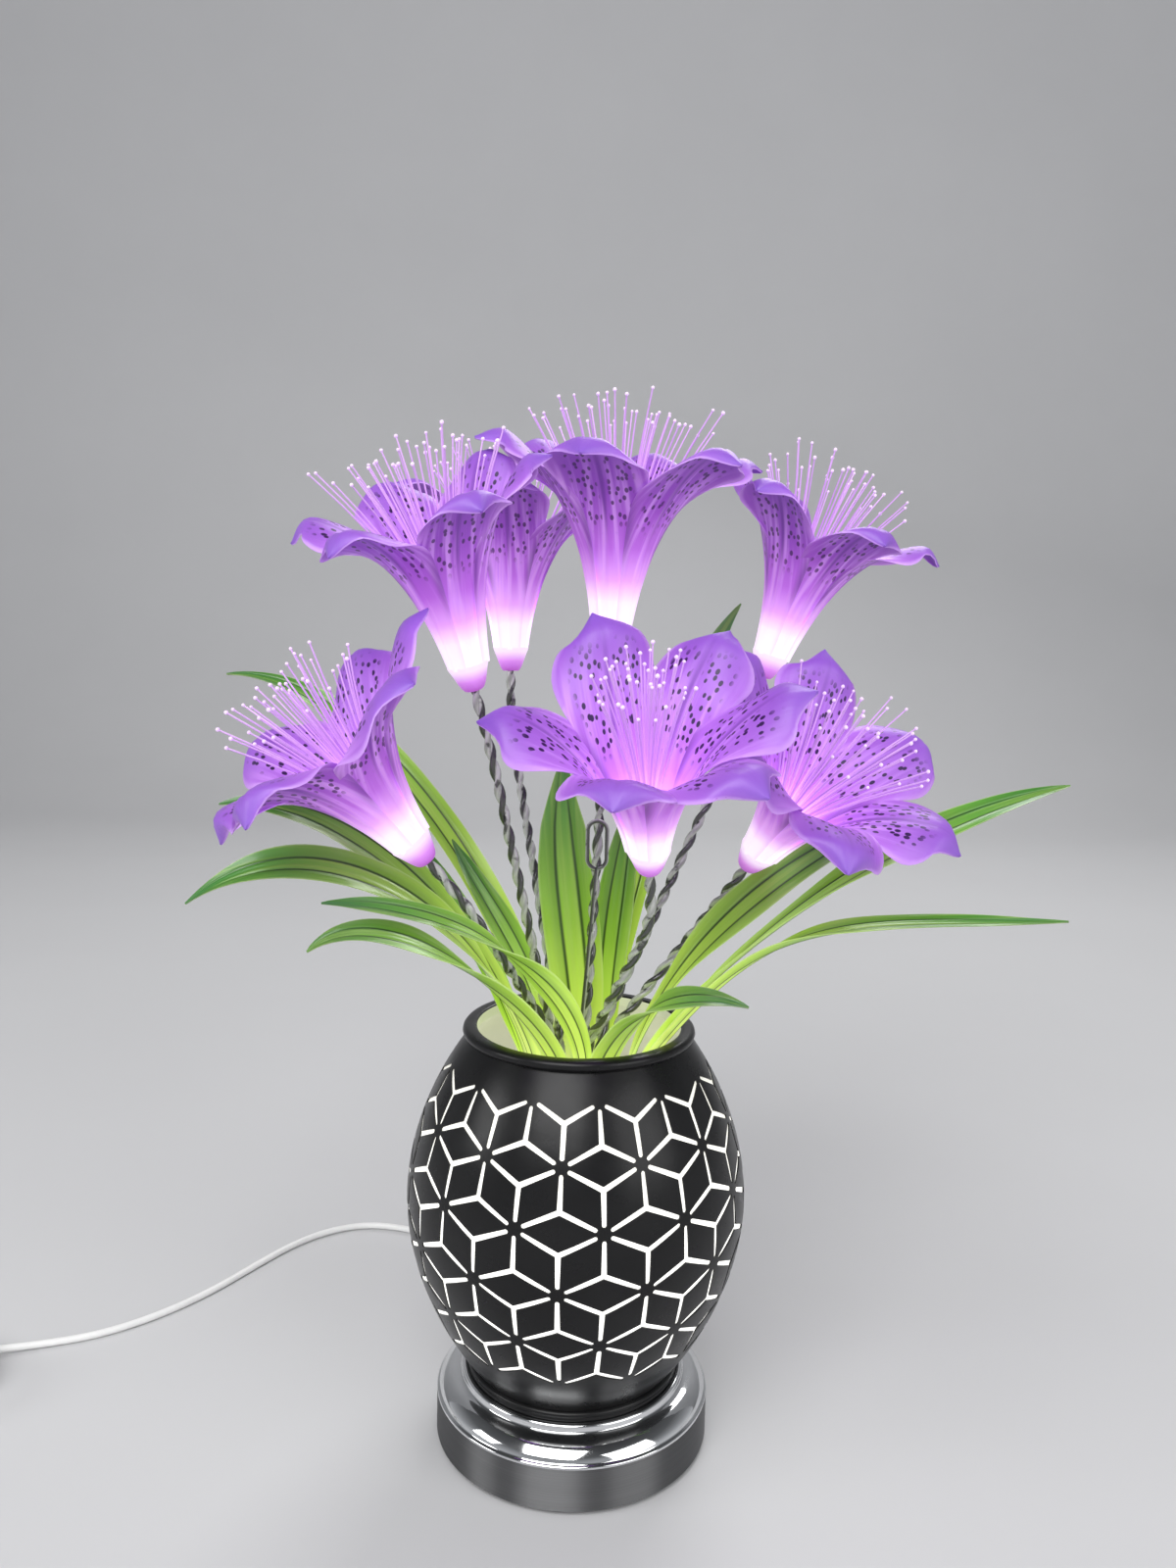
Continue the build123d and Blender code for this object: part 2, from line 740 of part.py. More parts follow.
quarter_turns = [step / 4 for step in range(round(coil_turns * 4) + 1)]
coil_stops = [coil_point(turn) for turn in quarter_turns]
coil_entry, coil_entry_way = coil_stops[0]
coil_exit, coil_exit_way = coil_stops[-1]
entry_end = coil_entry - coil_entry_way * cord_diameter
exit_end = coil_exit + coil_exit_way * cord_diameter
with BuildPart() as cord_coil:
    with BuildLine() as coil_path:
        Line(entry_end, coil_entry)
        for (start, start_way), (end, end_way) in zip(coil_stops, coil_stops[1:]):
            middle = biarc_middle(start, start_way, end, end_way)
            first = TangentArc(start, middle, tangent=start_way)
            TangentArc(middle, end, tangent=first % 1)
        Line(coil_exit, exit_end)
    with BuildSketch(Plane(origin=entry_end, z_dir=coil_entry_way)):
        Circle(cord_diameter / 2)
    coil_wire = coil_path.wires()[0]
    sweep(path=coil_wire)
keep(cord_coil, "cord_coil")
print_tube("cord_coil", cord_coil.part, cord_diameter / 2, coil_wire.length)

sample_count = 1500
samples = np.array([tuple(coil_wire @ (step / sample_count)) for step in range(sample_count + 1)])
apart = round(4 * cord_diameter / (coil_wire.length / sample_count))
least_gap = min(
    np.linalg.norm(samples[step + apart :] - samples[step], axis=1).min()
    for step in range(sample_count - apart)
)
print(f"cord_coil: least gap to itself {least_gap - cord_diameter:.2f} mm")

# Cord from the strain relief to the coil
relief_tip = relief_plane.offset(relief_length).origin
cord_route = (
    tuple(relief_tip),
    tuple(relief_tip + relief_direction * cord_lead),
    *cord_points,
    tuple(entry_end - coil_entry_way * cord_lead),
    tuple(entry_end),
)
cord_radii = bend_radii(cord_route)
print("cord radii:", " ".join(f"{radius:.0f}" for radius in cord_radii))
with BuildPart() as cord:
    with BuildLine() as cord_path:
        FilletPolyline(*cord_route, radius=cord_radii)
    with BuildSketch(relief_plane.offset(relief_length)):
        Circle(cord_diameter / 2)
    cord_wire = cord_path.wires()[0]
    sweep(path=cord_wire)
keep(cord, "cord")
print_tube("cord", cord.part, cord_diameter / 2, cord_wire.length)

# Tail from the coil down to the plug
plug_length, plug_width, plug_height = plug_grip_size
tail_drop = exit_end.Z - plug_height / 2
tail_route = [exit_end]
for run, share in zip(tail_runs, tail_drop_shares):
    tail_route.append(tail_route[-1] + coil_exit_way * run - Vector(0, 0, tail_drop * share))
tail_points = [tuple(point) for point in tail_route]
tail_radii = bend_radii(tail_points)
print("tail radii:", " ".join(f"{radius:.0f}" for radius in tail_radii))
with BuildPart() as cord_tail:
    with BuildLine() as tail_path:
        FilletPolyline(*tail_points, radius=tail_radii)
    with BuildSketch(Plane(origin=exit_end, z_dir=coil_exit_way)):
        Circle(cord_diameter / 2)
    tail_wire = tail_path.wires()[0]
    sweep(path=tail_wire)
keep(cord_tail, "cord_tail")
print_tube("cord_tail", cord_tail.part, cord_diameter / 2, tail_wire.length)
print(f"whole cord: {cord_wire.length + coil_wire.length + tail_wire.length:.0f} mm")

# Tie round the coil, opposite the side where its layers climb
tie_angle = radians(coil_bearing + 180)
tie_out = Vector(cos(tie_angle), sin(tie_angle), 0)
bundle_margin = cord_diameter / 2 + tie_clearance
bundle_inner = coil_inner_radius + coil_pitch / 2 - bundle_margin
bundle_outer = coil_outer_radius - coil_pitch / 2 + bundle_margin
bundle_height = (coil_layers - 1) * coil_pitch + 2 * bundle_margin
tie_middle = Vector(coil_middle[0], coil_middle[1], tie_thickness + bundle_height / 2)
tie_middle += tie_out * ((bundle_inner + bundle_outer) / 2)
with BuildPart() as coil_tie:
    with BuildSketch(Plane(origin=tie_middle, x_dir=tie_out, z_dir=(-tie_out.Y, tie_out.X, 0))):
        RectangleRounded(
            bundle_outer - bundle_inner + 2 * tie_thickness,
            bundle_height + 2 * tie_thickness,
            tie_thickness * 2,
        )
        RectangleRounded(bundle_outer - bundle_inner, bundle_height, tie_thickness, mode=Mode.SUBTRACT)
    extrude(amount=tie_width / 2, both=True)
keep(coil_tie, "coil_tie")

# Power plug: grip and flat metal shell
plug_plane = Plane(
    origin=tail_route[-1], x_dir=(-coil_exit_way.Y, coil_exit_way.X, 0), z_dir=coil_exit_way
)
with BuildPart() as plug_grip:
    with BuildSketch(plug_plane):
        RectangleRounded(plug_width, plug_height, plug_grip_fillet)
    extrude(amount=plug_length)
keep(plug_grip, "plug_grip")

shell_length, shell_width, shell_height = plug_shell_size
with BuildPart() as plug_shell:
    with BuildSketch(plug_plane.offset(plug_length)):
        Rectangle(shell_width, shell_height)
    extrude(amount=shell_length)
    with BuildSketch(plug_plane.offset(plug_length + plug_shell_back)):
        Rectangle(shell_width - 2 * plug_shell_wall, shell_height - 2 * plug_shell_wall)
    extrude(amount=shell_length, mode=Mode.SUBTRACT)
keep(plug_shell, "plug_shell")
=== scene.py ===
"""Looks of the lily lamp: chrome base, black vase with lit lines, and a bouquet of seven lit lilies.

Lengths are written in millimetres, as on the drawing, and turned into metres where a mesh is made.
The stage and its lamps are in metres. Finishes read metres on an object and millimetres on an unrolled sheet.
"""

import math
import random

import bmesh
import bpy
import numpy as np
from mathutils import Matrix, Vector
from mathutils.bvhtree import BVHTree
from mathutils.geometry import delaunay_2d_cdt


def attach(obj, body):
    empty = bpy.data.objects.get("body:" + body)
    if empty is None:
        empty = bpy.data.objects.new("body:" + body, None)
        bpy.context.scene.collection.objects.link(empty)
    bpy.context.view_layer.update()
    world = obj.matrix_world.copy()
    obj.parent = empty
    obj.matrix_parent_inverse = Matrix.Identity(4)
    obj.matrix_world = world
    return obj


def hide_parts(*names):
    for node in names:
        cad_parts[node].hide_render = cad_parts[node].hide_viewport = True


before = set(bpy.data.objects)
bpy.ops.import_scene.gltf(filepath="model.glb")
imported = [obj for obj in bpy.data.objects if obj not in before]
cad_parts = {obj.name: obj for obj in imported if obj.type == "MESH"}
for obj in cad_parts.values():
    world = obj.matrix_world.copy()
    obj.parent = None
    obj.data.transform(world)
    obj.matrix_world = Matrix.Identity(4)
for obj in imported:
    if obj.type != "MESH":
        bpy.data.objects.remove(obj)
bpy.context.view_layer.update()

MM = 0.001
FULL_TURN = 2 * math.pi
scene = bpy.context.scene

# Camera at the photograph's place
CAMERA_PLACE = (1.51, -452.21, 318.73)
CAMERA_DIP = 6.8
CAMERA_ROLL = 1.207
CAMERA_LENS = 27.0
CAMERA_SENSOR = 36.0

# Top of the hub that stems and leaves grow from
HUB_TOP = 138.6

# Petals, at even shares from the calyx to the tip; the lily forms scale their height and their spread
TRUMPET_HEIGHT = 70.0
PETAL_COUNT = 6
PETAL_RADII = (7.2, 8.6, 10.7, 14.1, 19.6, 27.0, 36.5, 46.5, 56.0)
PETAL_LEVELS = (0.0, 0.13, 0.27, 0.43, 0.6, 0.76, 0.9, 0.985, 0.95)
PETAL_HALF_WIDTHS = (4.3, 5.2, 6.4, 8.6, 12.0, 16.0, 17.6, 12.2, 0.6)
PETAL_LEAST_HALF_WIDTH = 0.5
PETAL_THICKNESS = 0.8
PETAL_ROWS = 36
PETAL_COLUMNS = 15
PETAL_INSET = 0.6
PETAL_OFFSET = 0.25
PETAL_RIB_DEPTH = 0.7
PETAL_RIB_WIDTH = 0.13
PETAL_DROOP = 0.42
PETAL_WAVES = 2.3
PETAL_WAVE_HEIGHTS = (1.0, 2.0)
PETAL_WAVE_LAG = 0.9
PETAL_REACH_CHANGES = (-0.025, 0.015)
PETAL_LEVEL_CHANGES = (-2.0, 1.2)
PETAL_TIP_DROPS = (0.0, 3.5)
PETAL_LEANS = (-7, 7)
PETAL_SHARP = 80.0
PATTERN_SEEDS = (0, 400)
WEIGHT_BEND = 38.0
LILY_FORMS = {"tall": (1.0, 1.0), "narrow": (0.93, 0.85), "open": (0.82, 1.0)}

# Each lily: its neck above the hub, lean, bearing, spin, form, and its stem's foot as reach and bearing
LILIES = {
    "flower_1": ((8.8, 0.8, 176.4), 4.4, 302, 13.0, "tall", (2.7, 22)),
    "flower_2": ((-40.2, -27.1, 163.1), 19.1, 223, 13.6, "narrow", (10.5, 190)),
    "flower_3": ((-33.5, 68.0, 167.8), 2.0, 116, 34.7, "tall", (10.5, 135)),
    "flower_4": ((72.5, 35.5, 168.3), 19.1, 341, 8.0, "narrow", (10.5, 40)),
    "flower_5": ((-53.7, -50.0, 104.3), 40.0, 202, 48.0, "open", (10.5, 222)),
    "flower_6": ((23.3, -54.0, 103.0), 28.4, 261, 40.0, "open", (10.5, 285)),
    "flower_7": ((63.0, -8.0, 96.7), 40.9, 310, 30.0, "open", (10.5, 2)),
}

# Pose of each petal: its bend outwards and its turn, in degrees, beyond what its weight gives, and its reach
PETAL_POSES = {
    "flower_1": ((4, 0, 1), (0, 0, 1), (-6, 0, 1), (-4, 0, 1), (-4, 0, 1.02), (12, 0, 1)),
    "flower_2": ((6, 0, 1), (10, 0, 1), (0, 0, 1), (-4, 0, 1), (-4, 0, 1), (2, 0, 1)),
    "flower_4": ((2, 0, 1), (0, 0, 1), (-4, 0, 1), (-4, 0, 1), (8, 0, 1), (10, 0, 1)),
    "flower_5": ((-4, 0, 0.97), (18, 10, 1.02), (16, 4, 1), (8, 0, 1), (0, 0, 0.97), (4, 6, 0.82)),
    "flower_6": ((-9, 6, 1), (-4, 0, 1), (6, -6, 1), (-15, -14, 1.02), (2, -4, 0.93), (-9, 16, 0.87)),
    "flower_7": ((-18, 0, 0.97), (0, 0, 1), (-4, 0, 1), (0, 0, 1), (6, 0, 1), (-8, -4, 0.98)),
}
AS_DRAWN = (0, 0, 1)

# Calyx profile as radius and height, bulb, and rings of filaments as count, tilt and rise above the mouth
CALYX_HEIGHT = 9.0
CALYX_PROFILE = (
    (2.5, 0.5), (3.1, -0.2), (4.1, 0.7), (5.1, 2.7), (6.0, 5.2),
    (6.9, 7.6), (7.6, 9.4), (7.3, 10.0), (6.2, 9.6),
)
CALYX_STEPS = 30
CALYX_SEGMENTS = 40
BULB_FOOT = 5.2
BULB_TOP = 14.2
BULB_RADIUS = 4.0
BULB_DOME_ANGLE = 1.55
BULB_DOME_STEPS = 9
BULB_SEGMENTS = 24
FILAMENT_RINGS = ((7, 6.0, 14.0), (14, 15.0, 15.0), (21, 24.0, 9.0))
FILAMENT_SPREADS = {"flower_5": 0.9, "flower_6": 0.6}
FILAMENT_POINTS = 7
FILAMENT_SIDES = 6
FILAMENT_FOOT_RADIUS = 0.46
FILAMENT_TAPER = 0.18
FILAMENT_TURN_CHANGES = (-0.25, 0.25)
FILAMENT_TILT_CHANGES = (-3.0, 3.0)
FILAMENT_RISE_CHANGES = (-7, 3)
FILAMENT_DRIFTS = (-1.5, 1.5)
FILAMENT_SHARE = 0.9
BEAD_RADII = (0.55, 0.78)

# Stems and support wire; paleness is the level and change of the pale thread along each strand, partly a
# painted highlight
STEM_RISE = 24.0
STEM_LEAD = 24.0
STEM_END = 1.5
STRAND_RADIUS = 1.15
STRAND_PITCH = 17.0
STRAND_OFFSET = 0.86
STRAND_PALENESS = ((0.8, 0.2), (0.25, 0.6))
WIRE_SIDES = 10
THREAD_HIGHLIGHT_BEARING = 0.8
HOOK_PALENESS = (0.66, 0.34)
HOOK_WIRE = 1.6
HOOK_FOOT = (-1.5, -5.5)
HOOK_EYE_MIDDLE = (5.5, -9.0, 104.0)
HOOK_EYE_LENGTH = 20.0
HOOK_EYE_WIDTH = 9.0
HOOK_NECK = (-0.5, -6.0)

# Arcs of the eye: first and last angle, points, shift in depth, and end of the eye
HOOK_EYE_ARCS = ((-90, 0, 7, 0.0, -1), (0, 180, 13, 0.0, 1), (180, 262, 7, -0.3, -1))

# Leaves: guide points above the hub, full width, and the way the tip's face looks
LEAF_THICKNESS = 0.8
LEAF_ROWS = 56
LEAF_COLUMNS = 23
LEAF_STATIONS = (0.0, 0.12, 0.28, 0.46, 0.64, 0.82, 0.93, 1.0)
LEAF_FULLNESS = (0.2, 0.56, 0.88, 1.0, 1.0, 0.72, 0.4, 0.0)
LEAF_FOOT_WIDTH = 5.0
LEAF_FOOT_TAPER = 3.8
LEAF_FOLD = 0.2
LEAF_CREASE = 0.36
LEAF_CREASE_WIDTH = 0.1
LEAF_CREASE_DEPTH = 0.5
LEAF_WAVES = 2.6
LEAF_WAVE_SHARE = 0.09
LEAF_WAVE_LAG = 1.1
LEAF_WAVE_PHASES = (0, 6)
LEAF_SHARP = 70.0
LEAVES = {
    "leaf_left_upper": [
        (((-18, -4, 0), (-17, 0, 47), (-83, -18, 130), (-136, -18, 118)), 18, (0, -0.7, 0.7)),
    ],
    "leaf_left_lower": [(((-14, -12, 0), (-16, -15, 56), (-84, -40, 132), (-140, -45, 86)), 19, (0, -1, 1))],
    "leaf_left_front": [(((0, -18, 0), (14, -29, 54), (-42, -54, 93), (-87, -66, 92)), 11, (0, -0.8, 0.6))],
    "leaf_left_low": [(((-7, -17, 0), (6, -22, 32), (-66, -60, 102), (-93, -62, 74)), 14, (0, -0.7, 0.7))],
    "leaf_centre": [(((0, 10, 0), (4, 10, 45), (-12, 12, 92), (-8, 12, 138)), 23, (0, -1, 0))],
    "leaf_centre_right": [(((11, 14, 0), (8, 16, 40), (14, 24, 79), (20, 28, 118)), 16, (0, -1, 0))],
    "leaf_right_upper": [(((18, -5, 0), (18, -17, 50), (74, -20, 104), (118, 4, 113)), 18, (0, -0.8, 0.6))],
    "leaf_right_long": [(((15, -10, 0), (42, -22, 66), (122, -8, 116), (194, 14, 128)), 16, (0, -0.7, 0.7))],
    "leaf_right_lower": [(((12, -14, 0), (66, -33, 88), (80, -30, 80), (182, -22, 81)), 11, (0, -0.6, 0.8))],
    "leaf_front_curl": [(((6, -17, 0), (7, -26, 30), (23, -48, 66), (59, -56, 56)), 15, (0, -0.6, 0.8))],
    "leaf_pair_left": [
        (((-18, 4, 0), (-25, -3, 36), (-45, 11, 70), (-65, 10, 100)), 10, (0, -1, 0)),
        (((-15, 10, 0), (-6, 4, 40), (-36, 18, 70), (-54, 26, 99)), 11, (0, -1, 0)),
    ],
    "leaf_pair_back": [
        (((-10, 16, 0), (-14, 13, 56), (-90, 55, 169), (-157, 62, 164)), 14, (0, -0.5, 0.8)),
        (((4, 18, 0), (14, 12, 55), (34, 59, 155), (67, 70, 199)), 14, (0, -1, 0)),
    ],
}

# Vase line pattern: rows of dark nodes round the vase, with a lit three-armed star in each triangle between
VASE_FOOT_TOP = 32.1
VASE_LIP_FOOT = 165.4
COAT_THICKNESS = 0.6
COAT_COLUMNS = 108
COAT_ROWS = 40
NODES_ROUND = 13
NODE_ROW_STEP = 22.3
NODE_ROWS = 6
FIRST_NODE_BEARING = -4.7
STAR_REACH = 0.86
STAR_HALF_WIDTH = 1.0
STAR_TIP_HALF_WIDTH = 0.78
STAR_TIP_OUTLINE = ((0.8, -1.0), (0.25, -0.5), (0.25, 0.5), (0.8, 1.0))
UNROLLED_RADIUS = 60.0
CUT_TOLERANCE = 1e-4
PROBE_BEARING = 0.37
PROBE_START = 200.0
PROBE_MARGIN = 0.05
PROBE_COUNT = 240

# Turned profiles as radius and height: the vase's rolled lip and ridged foot, and the chrome cover
LIP_PROFILE = (
    (43.3, 165.0), (43.9, 165.1), (44.8, 165.6), (45.6, 166.4), (45.95, 167.4), (45.7, 168.5), (45.0, 169.3),
    (43.9, 169.65), (41.4, 169.62), (40.6, 169.4), (40.3, 168.95), (41.3, 169.0), (43.3, 169.0),
)
FOOT_PROFILE = (
    (41.25, 32.3), (42.1, 31.9), (42.65, 31.3), (42.7, 30.7), (42.5, 30.3), (42.5, 29.9), (42.72, 29.5),
    (42.74, 28.9), (42.55, 28.5), (42.55, 28.1), (42.74, 27.7), (42.74, 26.9), (42.5, 26.4), (42.42, 26.4),
    (42.42, 30.8), (41.25, 31.95),
)
COVER_COLLAR = (
    (6.1, 24.5), (6.1, 26.1), (42.9, 26.1), (42.9, 28.6), (43.1, 28.85), (43.6, 28.95), (44.4, 28.85),
    (44.9, 28.4), (45.1, 27.8), (45.1, 26.6), (45.5, 26.1), (46.2, 25.75),
)
COVER_SLOPE = ((46.9, 25.5), (49.4, 24.7), (51.4, 23.3), (53.0, 21.6), (53.9, 19.9))
COVER_RIM = ((54.3, 19.65), (54.8, 19.4), (55.0, 19.05), (55.0, 18.5), (52.0, 18.5), (41.4, 24.5))
VASE_SEGMENTS = 160
COVER_SLOPE_STEPS = 15
COVER_SEGMENTS = 200

# Cord: the route of the lead, its coil and its tail
CORD_DIAMETER = 3.2
RELIEF_BEARING = 108.0
RELIEF_REACH = 55.0 + 22.0
RELIEF_HEIGHT = 11.0
CORD_LEAD = 18.0
CORD_POINTS = (
    (-38.0, 109.5, 7.4), (-51.5, 127.0, 3.2), (-70.5, 143.0, 1.6), (-92.0, 153.0, 1.6),
    (-114.0, 156.5, 1.6), (-133.5, 148.5, 1.6), (-149.5, 132.5, 1.6), (-163.0, 110.5, 1.6),
    (-177.0, 87.0, 1.6), (-194.5, 66.0, 1.6), (-215.0, 50.0, 1.6), (-236.0, 42.0, 1.6),
)
COIL_MIDDLE = (-271.0, 4.0)
COIL_BEARING = 109.0
COIL_TURNS_PER_LAYER = 3
COIL_LAYERS = 4
COIL_TURNS = 12.25
COIL_PITCH = 3.7
COIL_INNER_RADIUS = 13.0
COIL_START_HEIGHT = 2.8
COIL_POINTS_PER_TURN = 20
TAIL_RUNS = (12.0, 13.0, 14.0, 13.0, 12.0)
TAIL_DROP_SHARES = (0.0, 0.26, 0.48, 0.26, 0.0)
PLUG_HALF_HEIGHT = 4.2

# Stage in metres: the paper sweep, and each lamp's place, aim, size and power
SWEEP_HALF_WIDTH = 5.0
SWEEP_FRONT = -4.0
SWEEP_BEND = 1.6
SWEEP_RADIUS = 0.9
SWEEP_TOP = 4.5
SWEEP_DROP = 0.0002
LAMPS = {
    "key_lamp": ((-0.5, -1.65, 1.85), (0, 0, 0.2), 1.7, 46.0),
    "fill_lamp": ((1.6, -1.3, 1.1), (0, 0, 0.2), 1.5, 17.0),
    "back_lamp": ((0.5, 1.4, 1.7), (0, 0, 0.25), 1.0, 16.0),
    "side_lamp": ((-1.75, -0.55, 0.85), (0, 0, 0.15), 0.7, 7.0),
}
ROOM_STRENGTH = 0.9
BLACK = (0.0, 0.0, 0.0)


camera = bpy.data.objects.new("camera", bpy.data.cameras.new("camera"))
camera.data.lens = CAMERA_LENS
camera.data.sensor_width = CAMERA_SENSOR
camera.matrix_world = (
    Matrix.Translation(Vector(CAMERA_PLACE) * MM)
    @ Matrix.Rotation(math.radians(90 - CAMERA_DIP), 4, "X")
    @ Matrix.Rotation(math.radians(CAMERA_ROLL), 4, "Z")
)
scene.collection.objects.link(camera)
scene.camera = camera
scene.view_settings.view_transform = "Standard"


# Node helpers
class Nodes:
    """Shader nodes of one tree, each placed and linked in one call."""

    def __init__(self, tree):
        self.tree = tree

    def fill(self, inputs, values):
        """Link the sockets among the values to the inputs, and set the rest."""
        for socket, value in dict(values).items():
            if isinstance(value, bpy.types.NodeSocket):
                self.tree.links.new(value, inputs[socket])
            else:
                inputs[socket].default_value = value

    def place(self, kind, values=(), **settings):
        """Add a node with its settings and values, and return its outputs."""
        node = self.tree.nodes.new("ShaderNode" + kind)
        for setting, value in settings.items():
            setattr(node, setting, value)
        self.fill(node.inputs, values)
        return node.outputs

    def calc(self, operation, first, second=0.0):
        return self.place("Math", {0: first, 1: second}, operation=operation)[0]

    def times(self, first, *others):
        """Product of masks and shares."""
        for other in others:
            first = self.calc("MULTIPLY", first, other)
        return first

    def fade(self, value, low, high):
        """Smooth step from 0 at low to 1 at high; low may be the larger."""
        values = {0: value, 1: low, 2: high}
        return self.place("MapRange", values, interpolation_type="SMOOTHSTEP")[0]

    def span(self, value, start, full, fading, end):
        """Mask that rises from start to full and falls from fading to end."""
        return self.times(self.fade(value, start, full), self.fade(value, end, fading))

    def between(self, value, low, high, start=0.0, end=1.0):
        """Straight change from low to high as a value goes from start to end."""
        return self.place("MapRange", {0: value, 1: start, 2: end, 3: low, 4: high})[0]

    def tint(self, share, first, second):
        """Mix of two colours, given as sockets or as three numbers."""
        first, second = [c if isinstance(c, bpy.types.NodeSocket) else (*c, 1.0) for c in (first, second)]
        return self.place("Mix", {0: share, 6: first, 7: second}, data_type="RGBA")[2]

    def ramp(self, position, stops):
        """Colours at stops along a value."""
        colour = self.place("ValToRGB", {0: position})[0]
        elements = colour.node.color_ramp.elements
        elements.remove(elements[1])
        elements[0].position = stops[0][0]
        elements[0].color = (*stops[0][1], 1.0)
        for where, shade in stops[1:]:
            elements.new(where).color = (*shade, 1.0)
        return colour

    def reading(self, name):
        """A value that the mesh carries at each point."""
        return self.place("Attribute", attribute_name=name)["Fac"]

    def flat_place(self):
        """Place on the unrolled petal or leaf, in millimetres."""
        return self.place("Attribute", attribute_name="flat")["Vector"]

    def object_place(self):
        return self.place("TexCoord")["Object"]

    def noise(self, vector, scale, detail=3.0):
        return self.place("TexNoise", {"Vector": vector, "Scale": scale, "Detail": detail})["Fac"]

    def stretched(self, vector, scale):
        return self.place("Mapping", {"Vector": vector, "Scale": scale})[0]

    def effect(self, group, values):
        return self.place("Group", values, node_tree=group)


class Finish(Nodes):
    """Material with the nodes that lead to its surface."""

    def __init__(self, name, roughness, metallic=0.0):
        self.material = bpy.data.materials.new(name)
        self.material.use_nodes = True
        super().__init__(self.material.node_tree)
        self.surface = self.tree.nodes["Principled BSDF"].inputs
        self.give({"Roughness": roughness, "Metallic": metallic})

    def give(self, values):
        """Link or set inputs of the surface."""
        self.fill(self.surface, values)

    def bump(self, height, strength, distance):
        values = {"Height": height, "Strength": strength, "Distance": distance}
        self.give({"Normal": self.place("Bump", values)[0]})


def new_effect(name, inputs, outputs):
    """Empty node group with its sockets; returns its nodes, its inputs and its outputs."""
    tree = bpy.data.node_groups.new(name, "ShaderNodeTree")
    for way, sockets in (("INPUT", inputs), ("OUTPUT", outputs)):
        for label, kind in sockets.items():
            tree.interface.new_socket(label, in_out=way, socket_type="NodeSocket" + kind)
    given = tree.nodes.new("NodeGroupInput").outputs
    return Nodes(tree), given, tree.nodes.new("NodeGroupOutput").inputs


def make_grain():
    """Fine moulded grain: a height for bumps and a slow change of shade."""
    sockets = {"Vector": "Vector", "Scale": "Float"}
    nodes, given, out = new_effect("moulded_grain", sockets, {"Height": "Float", "Shade": "Float"})
    fine = nodes.noise(given["Vector"], given["Scale"], 4.0)
    broad = nodes.noise(given["Vector"], nodes.times(given["Scale"], 0.08), 2.0)
    nodes.fill(out, {"Height": fine, "Shade": broad})
    return nodes.tree


def make_streaks():
    """Streaks that run along a petal or a leaf."""
    sockets = {"Vector": "Vector", "Across": "Float", "Along": "Float"}
    nodes, given, out = new_effect("long_streaks", sockets, {"Mask": "Float"})
    scale = nodes.place("CombineXYZ", {0: given["Across"], 1: given["Along"], 2: 1.0})[0]
    vector = nodes.place("VectorMath", {0: given["Vector"], 1: scale}, operation="MULTIPLY")[0]
    nodes.fill(out, {"Mask": nodes.fade(nodes.noise(vector, 1.0, 2.0), 0.42, 0.68)})
    return nodes.tree


def make_edge_band():
    """Mask of a band along both edges of a sheet."""
    sockets = {"Edge": "Float", "Width": "Float"}
    nodes, given, out = new_effect("edge_band", sockets, {"Mask": "Float"})
    start = nodes.calc("SUBTRACT", 1.0, given["Width"])
    nodes.fill(out, {"Mask": nodes.fade(given["Edge"], start, 1.0)})
    return nodes.tree


grain_effect = make_grain()
streak_effect = make_streaks()
edge_effect = make_edge_band()


# Finishes
def moulded_finish(name, colour, roughness, grain_scale=900.0, depth=0.15, spread=0.18, metallic=0.0):
    """Moulded, painted or plated surface with a fine grain and a slow change of shade."""
    skin = Finish(name, roughness, metallic)
    grain = skin.effect(grain_effect, {"Vector": skin.object_place(), "Scale": grain_scale})
    darker = [c * (1 - spread) for c in colour]
    lighter = [min(1.0, c * (1 + spread)) for c in colour]
    skin.give({
        "Base Color": skin.tint(grain["Shade"], darker, lighter),
        "Roughness": skin.between(grain["Shade"], roughness * 0.8, roughness * 1.2),
    })
    skin.bump(grain["Height"], depth, 0.0002)
    return skin.material


